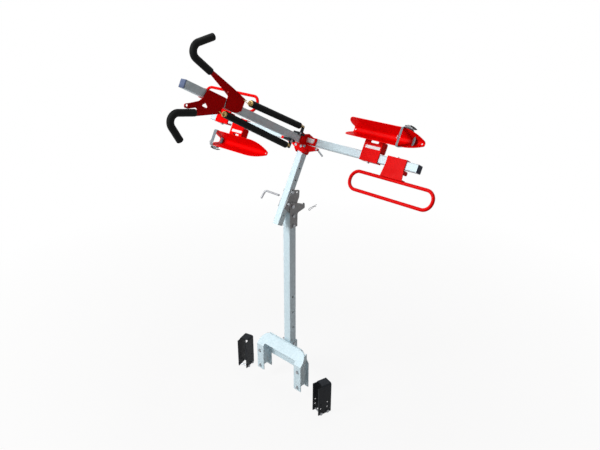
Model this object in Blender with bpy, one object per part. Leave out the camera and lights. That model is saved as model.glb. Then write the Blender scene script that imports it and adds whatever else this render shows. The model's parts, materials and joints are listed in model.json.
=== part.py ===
# Two-bike rack for a caravan drawbar, tipped back on its hinge for access.
# World frame: origin on the post's axis at the drawbar's top, +X along the wheel bar, +Z up.
# The tilting arm has a frame of its own: +X along the bar, +Z up the arm, -Y out along the mast.
import math

import bmesh
import bpy
from mathutils import Euler, Vector

# Clearances in metres, as are all sizes below
GAP = 0.0003
BOLT_PLAY = 0.0003
SLIDE_PLAY = 0.0006

# Steel stock
SHEET = 0.005
TUBE_WALL = 0.003
TUBE_CORNER = 0.004

# Fasteners, by thread diameter
M8 = 0.008
M10 = 0.010
M12 = 0.012

# Bridge between the drawbar rails
LEG_OUTER = 0.1805
LEG_INNER = 0.1265
LEG_BOTTOM = -0.1265
FRONT_FACE = -0.103
BACK_FACE = -0.0374
BEND_HEIGHT = 0.047
BRIDGE_TOP = 0.109
BRIDGE_LIP = 0.009
SHOULDER = 0.0515
FRONT_BEAM_EDGE = 0.061
BACK_BEAM_EDGE = -0.032
BACK_SHOULDER_X = 0.1326
BACK_SHOULDER_Z = 0.041
WEB_RIGHT = 0.1675
WEB_LEFT = -0.143
WEB_LIFT = 0.024
LEG_BOLT_X = 0.156
LEG_BOLT_HIGH = 0.004
LEG_BOLT_LOW = -0.105
SLOT_LENGTH = 0.026

# Lower post and its socket
POST = 0.050
POST_TOP = 0.944
SOCKET_FLOOR = 0.030
SOCKET_TOP = 0.104
SOCKET_BOLT_Z = 0.092
SOCKET_BOLT_TAIL = 0.018
POST_HOLE = 0.0055
POST_HOLE_TOP = 0.411
POST_HOLE_PITCH = 0.1035
POST_HOLES = 3

# Hinge: the ears stand on the post, the plates are bolted to the arm
PIVOT_Y = -0.0072
PIVOT_RISE = 0.034
LEAN = math.radians(28.4)
EAR_BOLT_DROP = (0.023, 0.081)
EAR_FOOT = 0.093
EAR_WAIST = 0.014
LUG_REACH = 0.0985
LUG_HEIGHT = 0.046
EAR_CROWN = 0.0235
LOCK_RADIUS = 0.081
LOCK_ANGLE = math.radians(-4.0)
ARM_PLATE = 0.0045
ARM_PLATE_HEAD = 0.097
ARM_PLATE_TAIL = 0.022

# Arm tube
ARM = 0.040
ARM_OFFSET = 0.034
BAR_ABOVE_PIVOT = 0.3565
ARM_TAIL = 0.117
ARM_HOLE_FIRST = -0.061
ARM_HOLE_PITCH = 0.066
ARM_HOLES = 5

# Wheel bar and mast
BAR = 0.040
BAR_LEFT = -0.762
BAR_RIGHT = 0.701
BAR_CAP = 0.004
CAP_PLUG = 0.020
MAST = 0.038
MAST_DROP = 0.009
MAST_TIP = 0.872
MAST_CAP = 0.004

# Head, which joins arm, wheel bar and mast
HEAD_SHEET = 0.0044
FACE_SHEET = 0.0055
FACE_HALF = 0.088
FACE_LOW = -0.021
FACE_HIGH = 0.020
CHEEK_REACH = 0.075
CHEEK_BACK = 0.033
CHEEK_FOOT = 0.072
CHEEK_PEAK = 0.035
CHEEK_LOW = -0.029
WING_FACE = 0.050
WING_SHEET = 0.006
WING_LEFT = -0.1335
WING_RIGHT = 0.135
WING_HIGH = -0.012
WING_STRIP = 0.0145
HEAD_BOLT_X = 0.045
HEAD_BOLT_U = -0.037
LEVER_X = 0.125
LEVER_U = -0.037
LEVER_LENGTH = 0.048
LEVER_SLOPE = math.radians(-30.0)
LEVER_ROD = 0.005
LEVER_HEAD = 0.0016

# Brackets on the wheel bar
BRACKET_SHEET = 0.0055
FLANGE_DEPTH = 0.046
LIP_BACK = -0.012
TRAY_BRACKET_X = (0.4325, -0.507)
TRAY_BRACKET_HALF = 0.0525
TRAY_BRACKET_TOP = 0.150
TRAY_FLANGE = (0.024, 0.081)
BRACKET_SLOT_U = 0.0725
BRACKET_SLOT_X = 0.004
BRACKET_SLOT = 0.048
BRACKET_SLOT_WIDTH = 0.012
LOOP_BRACKET_X = (0.5855, -0.659)
LOOP_BRACKET_HALF = 0.0535
LOOP_BRACKET_FLARE = 0.007
LOOP_FLANGE = (0.024, 0.045)
LOOP_WELD = 0.002
CLAMP_THREAD = M10
CLAMP_OFFSET = -0.014

# Wheel loops
LOOP_ROD = 0.008
LOOP_LENGTH = 0.485
LOOP_SHIFT = (0.0, -0.0165)
LOOP_WIDTH = 0.109
LOOP_CORNER = 0.046
LOOP_NEAR = 0.073

# Wheel trays
TRAY_SHEET = 0.0025
TRAY_LENGTH = 0.419
TRAY_WIDTH = 0.091
TRAY_HEIGHT = 0.071
TRAY_FOOT = 0.0125
TRAY_CORNER = 0.013
TRAY_TAPER = 0.3097
TRAY_TIP_FOOT = 0.0085
TRAY_TIP_HALF = 0.0136
TRAY_TIP_RISE = 0.005
TRAY_TIP_DROP = 0.054
TRAY_U = (0.1115, 0.1285)
TRAY_BLUNT_X = (0.286, -0.625)
TRAY_FLOOR_END = 0.010
TRAY_HOLE = 0.004
TRAY_HOLES = (0.018, TRAY_LENGTH - 0.016)

# Straps and ratchet buckles
STRAP_SHEET = 0.0025
STRAP_BAND = 0.025
STRAP_SLACK = 0.0004
STRAP_HALF = TRAY_WIDTH / 2 + STRAP_SHEET + STRAP_SLACK
STRAP_FOOT_X = (TRAY_BLUNT_X[0] + TRAY_LENGTH - 0.055, TRAY_BLUNT_X[1] + 0.035)
STRAP_HEAD_X = (TRAY_BLUNT_X[0] + TRAY_LENGTH - 0.101, TRAY_BLUNT_X[1] + 0.033)
STRAP_FOOT = (0.0395, 0.0335)
STRAP_HEAD = (0.1035, 0.1035)
STRAP_FLOOR_HALF = 0.012
STRAP_EXIT = (0.029, 0.009)
STRAP_ARCH = 0.005
BUCKLE_PLATE = 0.003
BUCKLE_LENGTH = 0.040
BUCKLE_CHEEK = 0.0025
BUCKLE_DEPTH = 0.012
BUCKLE_PIN = 0.002
BUCKLE_DROP = 0.014
LEVER_PLATE = 0.0025
LEVER_ARM = 0.046

# Sprung hooks, measured along the mast and away from its axis
SLEEVE_WALL = 0.0024
HOOK_SHEET = 0.005
HOOK_ROD = 0.008
GRIP = 0.0165
HOOK_BEND = 0.037
UPPER_HOOK = ((0.770, 0.0925), (0.939, 0.130), (0.816, 0.231))
LOWER_HOOK = ((0.781, -0.094), (0.9385, -0.1477), (0.808, -0.230))
TAB_HOLE = (0.836, -0.0795)
TAB_SLOT = (0.014, 0.009)
UPPER_BOX = (0.560, 0.630)
LOWER_BOX = (0.642, 0.756)
UPPER_EYE = (0.541, 0.047)
LOWER_EYE = (0.661, -0.047)
EYE_PLAY = 0.0006
EYE_HALF = 0.0053
EYE_BEND = 0.0024

# Extension springs and their sleeves
SPRING_X = 0.024
SPRING_COIL = 0.0120
SPRING_WIRE = 0.0019
SPRING_TURNS = 22
SPRING_POINTS = 8
SPRING_SHOW = 0.008
SLEEVE = 0.0165
SLEEVE_BORE = 0.0145
UPPER_SLEEVE = (0.117, 0.490)
LOWER_SLEEVE = (0.170, 0.620)
ANCHOR_SHEET = 0.004
ANCHOR_FOOT = 0.012
UPPER_ANCHOR = 0.086
LOWER_ANCHOR = 0.143
ANCHOR_EYE = 0.060
ANCHOR_BACK = 0.030
ANCHOR_FRONT = 0.016
ANCHOR_FOOT_START = UPPER_ANCHOR - ANCHOR_BACK

# Pieces drawn apart from the rack
PIN_ROD = 0.006
PIN_TIP_X = -0.150
PIN_SHAFT = 0.111
PIN_HANDLE = 0.052
PIN_BEND = 0.012
PIN_HOLE = 0.0024
PIN_HOLE_INSET = 0.0085
CLIP_X = 0.100
CLIP_WIRE = 0.00175
CLIP_TILT = math.radians(4.0)
SADDLE_X = 0.321
SADDLE_Y = -0.074
SADDLE_TURN = math.radians(15.0)
SADDLE_WIDTH = 0.0626
SADDLE_LENGTH = 0.086
SADDLE_BOTTOM = -0.193
SADDLE_CAP = 0.005
SADDLE_ROUND = 0.010
SADDLE_OPEN = 0.028
SADDLE_COLUMNS = (-0.0267, 0.0185)
SADDLE_ROW = 0.009
SADDLE_PITCH = 0.032
SADDLE_ROWS = 3

# Colours as red, green and blue, then roughness and metallic
PAINTS = {
    "zinc": ((0.70, 0.80, 0.84), 0.38, 0.85),
    "red_paint": ((0.75, 0.008, 0.006), 0.35, 0.0),
    "bare_steel": ((0.52, 0.54, 0.55), 0.35, 0.9),
    "black_steel": ((0.018, 0.021, 0.026), 0.45, 0.2),
    "foam": ((0.016, 0.018, 0.018), 0.9, 0.0),
    "rubber": ((0.010, 0.010, 0.011), 0.6, 0.0),
    "cap_plastic": ((0.045, 0.075, 0.20), 0.45, 0.0),
    "webbing": ((0.10, 0.13, 0.14), 0.85, 0.0),
    "brass": ((0.70, 0.48, 0.16), 0.32, 0.9),
}


def clear_scene():
    for old in list(bpy.data.objects):
        bpy.data.objects.remove(old)


def finish_mesh(name, shape, parent=None):
    bmesh.ops.recalc_face_normals(shape, faces=shape.faces)
    mesh = bpy.data.meshes.new(name)
    shape.to_mesh(mesh)
    shape.free()
    piece = bpy.data.objects.new(name, mesh)
    bpy.context.scene.collection.objects.link(piece)
    piece.parent = parent
    return piece


def frame_empty(name, place, turn, parent=None):
    empty = bpy.data.objects.new(name, None)
    bpy.context.scene.collection.objects.link(empty)
    empty.location = place
    empty.rotation_euler = Euler(turn)
    empty.parent = parent
    return empty


# An outline drawn in Y and Z, thickened along X
def seen_from_x(across, up, depth):
    return (depth, across, up)


# An outline drawn in X and Z, thickened along Y
def seen_from_y(across, up, depth):
    return (across, depth, up)


# An outline drawn in X and Y, thickened along Z
def seen_from_z(across, up, depth):
    return (across, up, depth)


# An outline drawn along the mast and up the arm, thickened along X
def beside_mast(out, up, depth):
    return (depth, -out, up)


# An outline drawn in X and up the arm, thickened outward along the mast
def facing_mast(across, up, out):
    return (across, -out, up)


# An outline drawn in X and along the mast, thickened up the arm
def above_mast(across, out, up):
    return (across, -out, up)


# Rounds the corners of an outline, or of an open path, with arcs that use up at most a share of each side
def rounded(points, radii, steps=3, closed=True, share=0.48):
    points = [Vector(point) for point in points]
    result = []
    for i, here in enumerate(points):
        radius = radii[i] if isinstance(radii, (list, tuple)) else radii
        at_end = not closed and i in (0, len(points) - 1)
        if at_end or radius <= 0:
            result.append(here)
            continue
        back = points[i - 1] - here
        ahead = points[(i + 1) % len(points)] - here
        half = back.angle(ahead) / 2
        turn = math.pi - 2 * half
        if turn < 0.03:
            result.append(here)
            continue
        radius = min(radius, share * min(back.length, ahead.length) * math.tan(half))
        middle = (back.normalized() + ahead.normalized()).normalized()
        centre = here + middle * (radius / math.sin(half))
        reach = radius / math.tan(half)
        start = here + back.normalized() * reach - centre
        end = here + ahead.normalized() * reach - centre
        for k in range(steps + 1):
            t = k / steps
            lean_in = math.sin((1 - t) * turn) / math.sin(turn)
            lean_out = math.sin(t * turn) / math.sin(turn)
            result.append(centre + start * lean_in + end * lean_out)
    return result


def arc(centre, radius, start, end, steps):
    angles = [start + (end - start) * k / steps for k in range(steps + 1)]
    return [(centre[0] + radius * math.cos(a), centre[1] + radius * math.sin(a)) for a in angles]


def prism(name, outline, low, high, view, parent=None):
    shape = bmesh.new()
    rings = []
    for depth in (low, high):
        rings.append([shape.verts.new(view(point[0], point[1], depth)) for point in outline])
    shape.faces.new(rings[0])
    shape.faces.new(rings[1])
    count = len(outline)
    for i in range(count):
        j = (i + 1) % count
        shape.faces.new((rings[0][i], rings[0][j], rings[1][j], rings[1][i]))
    return finish_mesh(name, shape, parent)


def box(name, x, y, z, parent=None):
    outline = [(x[0], y[0]), (x[1], y[0]), (x[1], y[1]), (x[0], y[1])]
    return prism(name, outline, z[0], z[1], seen_from_z, parent)


def square(side, corner, steps=2, centre=(0.0, 0.0)):
    half = side / 2
    points = [(-half, -half), (half, -half), (half, half), (-half, half)]
    return [(x + centre[0], y + centre[1]) for x, y in rounded(points, corner, steps)]


# A tube of any section: two outlines with the same number of points
def hollow_prism(name, outer, inner, low, high, view, parent=None):
    shape = bmesh.new()
    rings = []
    for outline in (outer, inner):
        for depth in (low, high):
            rings.append([shape.verts.new(view(point[0], point[1], depth)) for point in outline])
    outer_low, outer_high, inner_low, inner_high = rings
    count = len(outer)
    for i in range(count):
        j = (i + 1) % count
        shape.faces.new((outer_low[i], outer_low[j], outer_high[j], outer_high[i]))
        shape.faces.new((inner_low[i], inner_high[i], inner_high[j], inner_low[j]))
        shape.faces.new((outer_low[i], inner_low[i], inner_low[j], outer_low[j]))
        shape.faces.new((outer_high[i], outer_high[j], inner_high[j], inner_high[i]))
    return finish_mesh(name, shape, parent)


def square_tube(name, side, low, high, view, centre=(0.0, 0.0), parent=None):
    outer = square(side, TUBE_CORNER, 2, centre)
    inner = square(side - 2 * TUBE_WALL, TUBE_CORNER - TUBE_WALL, 2, centre)
    return hollow_prism(name, outer, inner, low, high, view, parent)


# Joined rings along +Z; each ring has a height, a corner radius and a number of corners, 0 for round
def stacked(name, rings, parent=None, sides=12, start=0.0):
    shape = bmesh.new()
    loops = []
    for height, radius, corners in rings:
        loop = []
        for i in range(sides):
            angle = start + 2 * math.pi * i / sides
            reach = radius
            if corners:
                sector = 2 * math.pi / corners
                off = (angle - start) % sector - sector / 2
                reach = radius * math.cos(sector / 2) / math.cos(off)
            loop.append(shape.verts.new((reach * math.cos(angle), reach * math.sin(angle), height)))
        loops.append(loop)
    shape.faces.new(loops[0])
    shape.faces.new(loops[-1])
    for below, above in zip(loops, loops[1:]):
        for i in range(sides):
            j = (i + 1) % sides
            shape.faces.new((below[i], below[j], above[j], above[i]))
    return finish_mesh(name, shape, parent)


# A cylinder along +Z from its origin
def peg(name, radius, length, parent=None, sides=12):
    return stacked(name, [(0.0, radius, 0), (length, radius, 0)], parent, sides)


# A hex bolt whose head seats on the plane of its origin, with +Z down its shaft to the nut
def bolt(name, thread, grip, place, turn, parent=None, nut=True, tail=0.003):
    hexagon = 0.92 * thread
    head = 0.64 * thread
    rings = [(-head, hexagon, 6), (0.0, hexagon, 6), (0.0, thread / 2, 0), (grip, thread / 2, 0)]
    if nut:
        end = grip + 0.8 * thread
        rings += [(grip, hexagon, 6), (end, hexagon, 6), (end, thread / 2, 0), (end + tail, thread / 2, 0)]
    piece = stacked(name, rings, parent)
    piece.location = place
    piece.rotation_euler = Euler(turn)
    return piece


ALONG_X = (0.0, math.pi / 2, 0.0)
AGAINST_X = (0.0, -math.pi / 2, 0.0)
ALONG_Y = (-math.pi / 2, 0.0, 0.0)
AGAINST_Y = (math.pi / 2, 0.0, 0.0)
ALONG_Z = (0.0, 0.0, 0.0)
AGAINST_Z = (math.pi, 0.0, 0.0)


def rod(name, points, radius, resolution, closed=False, parent=None):
    curve = bpy.data.curves.new(name, "CURVE")
    curve.dimensions = "3D"
    curve.resolution_u = 1
    curve.render_resolution_u = 0
    curve.bevel_depth = radius
    curve.bevel_resolution = resolution
    curve.use_fill_caps = not closed
    spline = curve.splines.new("POLY")
    spline.points.add(len(points) - 1)
    for knot, point in zip(spline.points, points):
        knot.co = (point[0], point[1], point[2], 1.0)
    spline.use_cyclic_u = closed
    piece = bpy.data.objects.new(name, curve)
    bpy.context.scene.collection.objects.link(piece)
    piece.parent = parent
    return piece


# Turns a curve object into a mesh object of the same name
def as_mesh(piece):
    bpy.context.view_layer.update()
    graph = bpy.context.evaluated_depsgraph_get()
    mesh = bpy.data.meshes.new_from_object(piece.evaluated_get(graph))
    name, parent = piece.name, piece.parent
    bpy.data.objects.remove(piece)
    shape = bmesh.new()
    shape.from_mesh(mesh)
    bpy.data.meshes.remove(mesh)
    bmesh.ops.remove_doubles(shape, verts=shape.verts, dist=0.00001)
    return finish_mesh(name, shape, parent)


# Joins, cuts or crosses a piece with a tool shape, and drops the tool
def combine(piece, tool, operation):
    step = piece.modifiers.new(operation.lower(), "BOOLEAN")
    step.operation = operation
    step.solver = "EXACT"
    step.object = tool
    bpy.context.view_layer.update()
    graph = bpy.context.evaluated_depsgraph_get()
    mesh = bpy.data.meshes.new_from_object(piece.evaluated_get(graph))
    piece.modifiers.remove(step)
    piece.data = mesh
    bpy.data.objects.remove(tool)
    return piece


def join(piece, *tools):
    for tool in tools:
        combine(piece, tool, "UNION")
    return piece


def cut(piece, *tools):
    for tool in tools:
        combine(piece, tool, "DIFFERENCE")
    return piece


# A round cutter through everything between two depths, along the view's depth axis
def drill(across, up, radius, low, high, view, parent=None, sides=12):
    outline = arc((across, up), radius, 0.0, 2 * math.pi * (sides - 1) / sides, sides - 1)
    return prism("drill", outline, low, high, view, parent)


# An upright slot cutter, rounded at both ends
def slot_cutter(across, up, width, length, low, high, view, parent=None, level=False):
    straight = (length - width) / 2
    ends = arc((0.0, straight), width / 2, 0.0, math.pi, 4) + arc((0.0, -straight), width / 2, math.pi, 2 * math.pi, 4)
    if level:
        ends = [(-b, a) for a, b in ends]
    outline = [(a + across, b + up) for a, b in ends]
    return prism("slot", outline, low, high, view, parent)


# The closed outline of a folded sheet, from the open line of its outer side
def folded(points, thickness):
    points = [Vector(point) for point in points]
    inner = []
    for i, here in enumerate(points):
        sides = []
        if i > 0:
            sides.append((here - points[i - 1]).normalized())
        if i < len(points) - 1:
            sides.append((points[i + 1] - here).normalized())
        normals = [Vector((side[1], -side[0])) for side in sides]
        middle = sum(normals, Vector((0.0, 0.0))).normalized()
        inner.append(here + middle * (thickness / middle.dot(normals[0])))
    return points + inner[::-1]


def mirrored(points):
    return points + [(-x, z) for x, z in reversed(points)]


# Bridge plates

def leg_holes(piece, low, high):
    for x in (LEG_BOLT_X, -LEG_BOLT_X):
        for z in (LEG_BOLT_HIGH, LEG_BOLT_LOW):
            cut(piece, slot_cutter(x, z, M10 + 2 * BOLT_PLAY, SLOT_LENGTH, low, high, seen_from_y))
    return piece


def bridge_front_plate():
    top_face = BACK_FACE - GAP - SHEET
    outer = [
        (FRONT_FACE, LEG_BOTTOM),
        (FRONT_FACE, BEND_HEIGHT),
        (top_face, BRIDGE_TOP),
        (top_face, BRIDGE_TOP + BRIDGE_LIP),
    ]
    piece = prism("bridge_front_plate", folded(outer, SHEET), -LEG_OUTER, LEG_OUTER, seen_from_x)
    lip_end = LEG_OUTER - SHOULDER
    side = [
        (LEG_INNER, FRONT_BEAM_EDGE),
        (LEG_INNER, LEG_BOTTOM - SHEET),
        (LEG_OUTER + SHEET, LEG_BOTTOM - SHEET),
        (LEG_OUTER + SHEET, BRIDGE_TOP - SHOULDER),
    ]
    shoulder = arc((lip_end, BRIDGE_TOP - SHOULDER), SHOULDER, 0.0, math.pi / 2, 6)
    side += shoulder + [(lip_end, BRIDGE_TOP + 2 * BRIDGE_LIP)]
    front = prism("front", mirrored(side), 2 * FRONT_FACE, SHEET, seen_from_y)
    combine(piece, front, "INTERSECT")
    return leg_holes(piece, FRONT_FACE - SHEET, FRONT_FACE + 2 * SHEET)


# The height of the leaning part's inner face above a given depth
def under_front(y):
    top_face = BACK_FACE - GAP - SHEET
    slope = (BRIDGE_TOP - BEND_HEIGHT) / (top_face - FRONT_FACE)
    drop = (SHEET + GAP) * math.hypot(1.0, slope)
    return BEND_HEIGHT + slope * (y - FRONT_FACE) - drop


def bridge_back_plate():
    side = [
        (LEG_INNER, BACK_BEAM_EDGE),
        (LEG_INNER, LEG_BOTTOM),
        (LEG_OUTER, LEG_BOTTOM),
        (LEG_OUTER, BACK_SHOULDER_Z),
        (BACK_SHOULDER_X, BRIDGE_TOP),
    ]
    piece = prism("bridge_back_plate", mirrored(side), BACK_FACE, BACK_FACE + SHEET, seen_from_y)
    front = FRONT_FACE + SHEET + GAP
    back = BACK_FACE + SHEET / 2
    web = [
        (front, LEG_BOTTOM + WEB_LIFT),
        (back, LEG_BOTTOM + WEB_LIFT),
        (back, under_front(BACK_FACE - SHEET)),
        (BACK_FACE - SHEET, under_front(BACK_FACE - SHEET)),
        (front, under_front(front)),
    ]
    for face in (WEB_RIGHT, WEB_LEFT):
        leg = prism("web", web, face - SHEET, face, seen_from_x)
        cut(leg, drill((front + back) / 2 + 0.010, 0.032, POST_HOLE, face - 2 * SHEET, face + SHEET, seen_from_x))
        join(piece, leg)
    reach = POST / 2 + GAP
    seat = box(
        "socket",
        (-reach - SHEET, reach + SHEET),
        (BACK_FACE + SHEET / 2, reach + SHEET),
        (SOCKET_FLOOR, SOCKET_TOP),
    )
    well = box("well", (-reach, reach), (-reach - SHEET, reach), (SOCKET_FLOOR + SHEET, SOCKET_TOP + SHEET))
    cut(seat, well)
    cut(seat, drill(0.0, SOCKET_BOLT_Z, M10 / 2 + BOLT_PLAY, -POST, POST, seen_from_x))
    join(piece, seat)
    return leg_holes(piece, BACK_FACE - SHEET, BACK_FACE + 2 * SHEET)


def leg_bolts():
    grip = BACK_FACE + SHEET - FRONT_FACE + 2 * GAP
    for side, x in (("right", LEG_BOLT_X), ("left", -LEG_BOLT_X)):
        for level, z in (("upper", LEG_BOLT_HIGH), ("lower", LEG_BOLT_LOW)):
            bolt(f"leg_bolt_{side}_{level}", M10, grip, (x, FRONT_FACE - GAP, z), ALONG_Y)


# Lower post

def lower_post():
    piece = square_tube("lower_post", POST, SOCKET_FLOOR + SHEET + GAP, POST_TOP, seen_from_z)
    heights = [POST_HOLE_TOP - POST_HOLE_PITCH * i for i in range(POST_HOLES)]
    for z in heights:
        cut(piece, drill(0.0, z, POST_HOLE, -POST, POST, seen_from_x, sides=24))
    for z in [POST_TOP - drop for drop in EAR_BOLT_DROP] + [SOCKET_BOLT_Z]:
        cut(piece, drill(0.0, z, M10 / 2 + BOLT_PLAY, -POST, POST, seen_from_x))
    return piece


def socket_bolt():
    reach = POST / 2 + SHEET + 2 * GAP
    place = (reach, 0.0, SOCKET_BOLT_Z)
    return bolt("socket_bolt", M10, 2 * reach, place, AGAINST_X, tail=SOCKET_BOLT_TAIL)


# Hinge

PIVOT_Z = POST_TOP + PIVOT_RISE
EAR_INSIDE = POST / 2 + GAP


def lock_point(angle):
    return (LOCK_RADIUS * math.cos(angle), LOCK_RADIUS * math.sin(angle))


def hinge_ears():
    foot = POST_TOP - EAR_FOOT
    lug_low = POST_TOP - 0.003
    back = POST / 2
    crown = math.asin(-(back + PIVOT_Y) / EAR_CROWN)
    outline = [
        (-back, foot),
        (back + 0.006, foot),
        (back + 0.008, POST_TOP - EAR_WAIST),
        (PIVOT_Y + LUG_REACH, lug_low),
        (PIVOT_Y + LUG_REACH - 0.002, lug_low + LUG_HEIGHT),
    ]
    outline = rounded(outline, [0.003, 0.003, 0.012, 0.009, 0.009])
    outline += arc((PIVOT_Y, PIVOT_Z), EAR_CROWN, math.radians(62), math.pi / 2 - crown, 6)
    across, up = lock_point(LOCK_ANGLE)
    for name, low in (("hinge_ear_right", EAR_INSIDE), ("hinge_ear_left", -EAR_INSIDE - SHEET)):
        ear = prism(name, outline, low, low + SHEET, seen_from_x)
        cut(ear, drill(PIVOT_Y, PIVOT_Z, M12 / 2 + BOLT_PLAY, -POST, POST, seen_from_x))
        cut(ear, drill(PIVOT_Y + across, PIVOT_Z + up, PIN_ROD + BOLT_PLAY, -POST, POST, seen_from_x))
        for drop in EAR_BOLT_DROP:
            cut(ear, drill(0.0, POST_TOP - drop, M10 / 2 + BOLT_PLAY, -POST, POST, seen_from_x))


def hinge_bolts():
    reach = EAR_INSIDE + SHEET + GAP
    for level, drop in zip(("upper", "lower"), EAR_BOLT_DROP):
        bolt(f"ear_bolt_{level}", M10, 2 * reach, (reach, 0.0, POST_TOP - drop), AGAINST_X)
    bolt("pivot_bolt", M12, 2 * reach, (reach, PIVOT_Y, PIVOT_Z), AGAINST_X)


# Arm. In the arm's frame the pivot is the origin, and the arm's axis lies ARM_OFFSET out from it.

def arm_hole_heights():
    return [ARM_HOLE_FIRST + ARM_HOLE_PITCH * i for i in range(ARM_HOLES)]


def arm_tube(arm):
    top = BAR_ABOVE_PIVOT - BAR / 2 - GAP
    piece = square_tube("arm_tube", ARM, -ARM_TAIL, top, seen_from_z, (0.0, -ARM_OFFSET), arm)
    for z in arm_hole_heights():
        cut(piece, drill(-ARM_OFFSET, z, M10 / 2 + BOLT_PLAY, -ARM, ARM, seen_from_x, arm))
    return piece


def arm_plates(arm):
    stop = PIVOT_RISE - GAP
    down = LEAN - math.pi / 2
    front = -ARM_OFFSET - 0.018
    heel = Vector((math.cos(down), math.sin(down))) * stop
    toe = heel + Vector((-math.cos(LEAN), -math.sin(LEAN))) * 0.020
    shape = [
        (front, ARM_PLATE_HEAD - 0.018),
        (0.018, ARM_PLATE_HEAD),
        (stop, ARM_PLATE_HEAD - 0.035),
    ]
    shape = rounded(shape + [(stop, 0.0)], [0.007, 0.010, 0.012, 0.0])[:-1]
    shape += arc((0.0, 0.0), stop, 0.0, down, 8)
    shape += [tuple(toe), (front, -ARM_PLATE_TAIL)]
    across, up = lock_point(LOCK_ANGLE + math.pi / 2 - LEAN + LEAN)
    inside = ARM / 2 + GAP
    for name, low in (("arm_plate_right", inside), ("arm_plate_left", -inside - ARM_PLATE)):
        plate = prism(name, shape, low, low + ARM_PLATE, seen_from_x, arm)
        cut(plate, drill(0.0, 0.0, M12 / 2 + BOLT_PLAY, -ARM, ARM, seen_from_x, arm))
        cut(plate, drill(across, up, PIN_ROD + BOLT_PLAY, -ARM, ARM, seen_from_x, arm))
        for z in arm_hole_heights()[1:3]:
            cut(plate, drill(-ARM_OFFSET, z, M10 / 2 + BOLT_PLAY, -ARM, ARM, seen_from_x, arm))
    reach = inside + ARM_PLATE + GAP
    for level, z in zip(("lower", "upper"), arm_hole_heights()[1:3]):
        bolt(f"arm_plate_bolt_{level}", M10, 2 * reach, (reach, -ARM_OFFSET, z), AGAINST_X, arm)


# Head. In the rack's frame the wheel bar's centre is the origin.

def head_bracket(rack):
    inside = ARM / 2 + GAP
    mast_top = MAST / 2 - MAST_DROP
    side = [
        (CHEEK_REACH, mast_top - GAP),
        (ANCHOR_FOOT_START - GAP, mast_top - GAP),
        (ANCHOR_FOOT_START - GAP, FACE_HIGH + 0.003),
        (BAR / 2, CHEEK_PEAK),
        (-CHEEK_BACK, BAR / 2 + HEAD_SHEET),
        (-CHEEK_BACK, -BAR / 2 - 0.010),
        (-BAR / 2, -CHEEK_FOOT),
        (BAR / 2 + FACE_SHEET, -CHEEK_FOOT),
        (WING_FACE - WING_SHEET / 2, -CHEEK_FOOT + 0.016),
        (WING_FACE - WING_SHEET / 2, CHEEK_LOW),
        (CHEEK_REACH, CHEEK_LOW),
    ]
    side = rounded(side, [0.004, 0.0, 0.004, 0.006, 0.004, 0.004, 0.006, 0.0, 0.0, 0.0, 0.004], 2)
    hole = BAR / 2 + GAP
    cheeks = []
    for low in (inside, -inside - HEAD_SHEET):
        cheek = prism("head_bracket", side, low, low + HEAD_SHEET, beside_mast, rack)
        bore = [(-hole, -hole), (hole, -hole), (hole, hole), (-hole, hole)]
        cut(cheek, prism("bore", bore, -ARM, ARM, beside_mast, rack))
        cheeks.append(cheek)
    face = prism(
        "face",
        [(-FACE_HALF, FACE_LOW), (FACE_HALF, FACE_LOW), (FACE_HALF, FACE_HIGH), (-FACE_HALF, FACE_HIGH)],
        hole,
        BAR / 2 + FACE_SHEET,
        facing_mast,
        rack,
    )
    under_mast = -(MAST_DROP + MAST / 2 + GAP)
    wing = [
        (WING_LEFT, WING_HIGH),
        (-inside, WING_HIGH),
        (-inside, under_mast),
        (WING_RIGHT - 0.017, under_mast),
        (WING_RIGHT, under_mast - 0.003),
        (WING_RIGHT - 0.001, under_mast - 0.014),
        (0.0975, -0.0547),
        (0.052, -0.069),
        (0.035, -0.071),
        (0.0, -0.065),
        (-0.044, -0.041),
        (-0.073, -0.036),
        (-0.095, WING_HIGH - WING_STRIP),
        (WING_LEFT, WING_HIGH - WING_STRIP),
    ]
    plate = prism("wing", wing, WING_FACE - WING_SHEET, WING_FACE, facing_mast, rack)
    piece = cheeks[0]
    join(piece, face, plate, cheeks[1])
    cut(piece, drill(HEAD_BOLT_X, HEAD_BOLT_U, M8 / 2 + BOLT_PLAY, 0.0, 2 * WING_FACE, facing_mast, rack))
    cut(piece, drill(LEVER_X, LEVER_U, M8 / 2 + BOLT_PLAY, 0.0, 2 * WING_FACE, facing_mast, rack))
    return piece


def head_bolt(rack):
    grip = WING_SHEET + 2 * GAP
    place = (HEAD_BOLT_X, -WING_FACE - GAP, HEAD_BOLT_U)
    return bolt("head_bolt", M8, grip, place, ALONG_Y, rack)


# A cam lever on a low-headed stud through the wing plate, with its rod behind the plate
def head_lever(rack):
    grip = WING_SHEET + 2 * GAP
    hub = 0.92 * M8
    depth = grip + LEVER_ROD + GAP
    rings = [(-LEVER_HEAD, 0.8 * hub, 0), (0.0, hub, 0), (0.0, M8 / 2, 0), (grip, M8 / 2, 0)]
    rings += [(grip, hub, 6), (depth + LEVER_ROD, hub, 6)]
    piece = stacked("head_lever", rings)
    inner = M8 / 4
    outer = inner + LEVER_LENGTH
    ends = [(inner * math.cos(LEVER_SLOPE), -inner * math.sin(LEVER_SLOPE), depth)]
    ends.append((outer * math.cos(LEVER_SLOPE), -outer * math.sin(LEVER_SLOPE), depth))
    join(piece, as_mesh(rod("arm", ends, LEVER_ROD, 2)))
    piece.parent = rack
    piece.location = (LEVER_X, -WING_FACE - GAP, LEVER_U)
    piece.rotation_euler = Euler(ALONG_Y)
    return piece


# Wheel bar and mast

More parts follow.
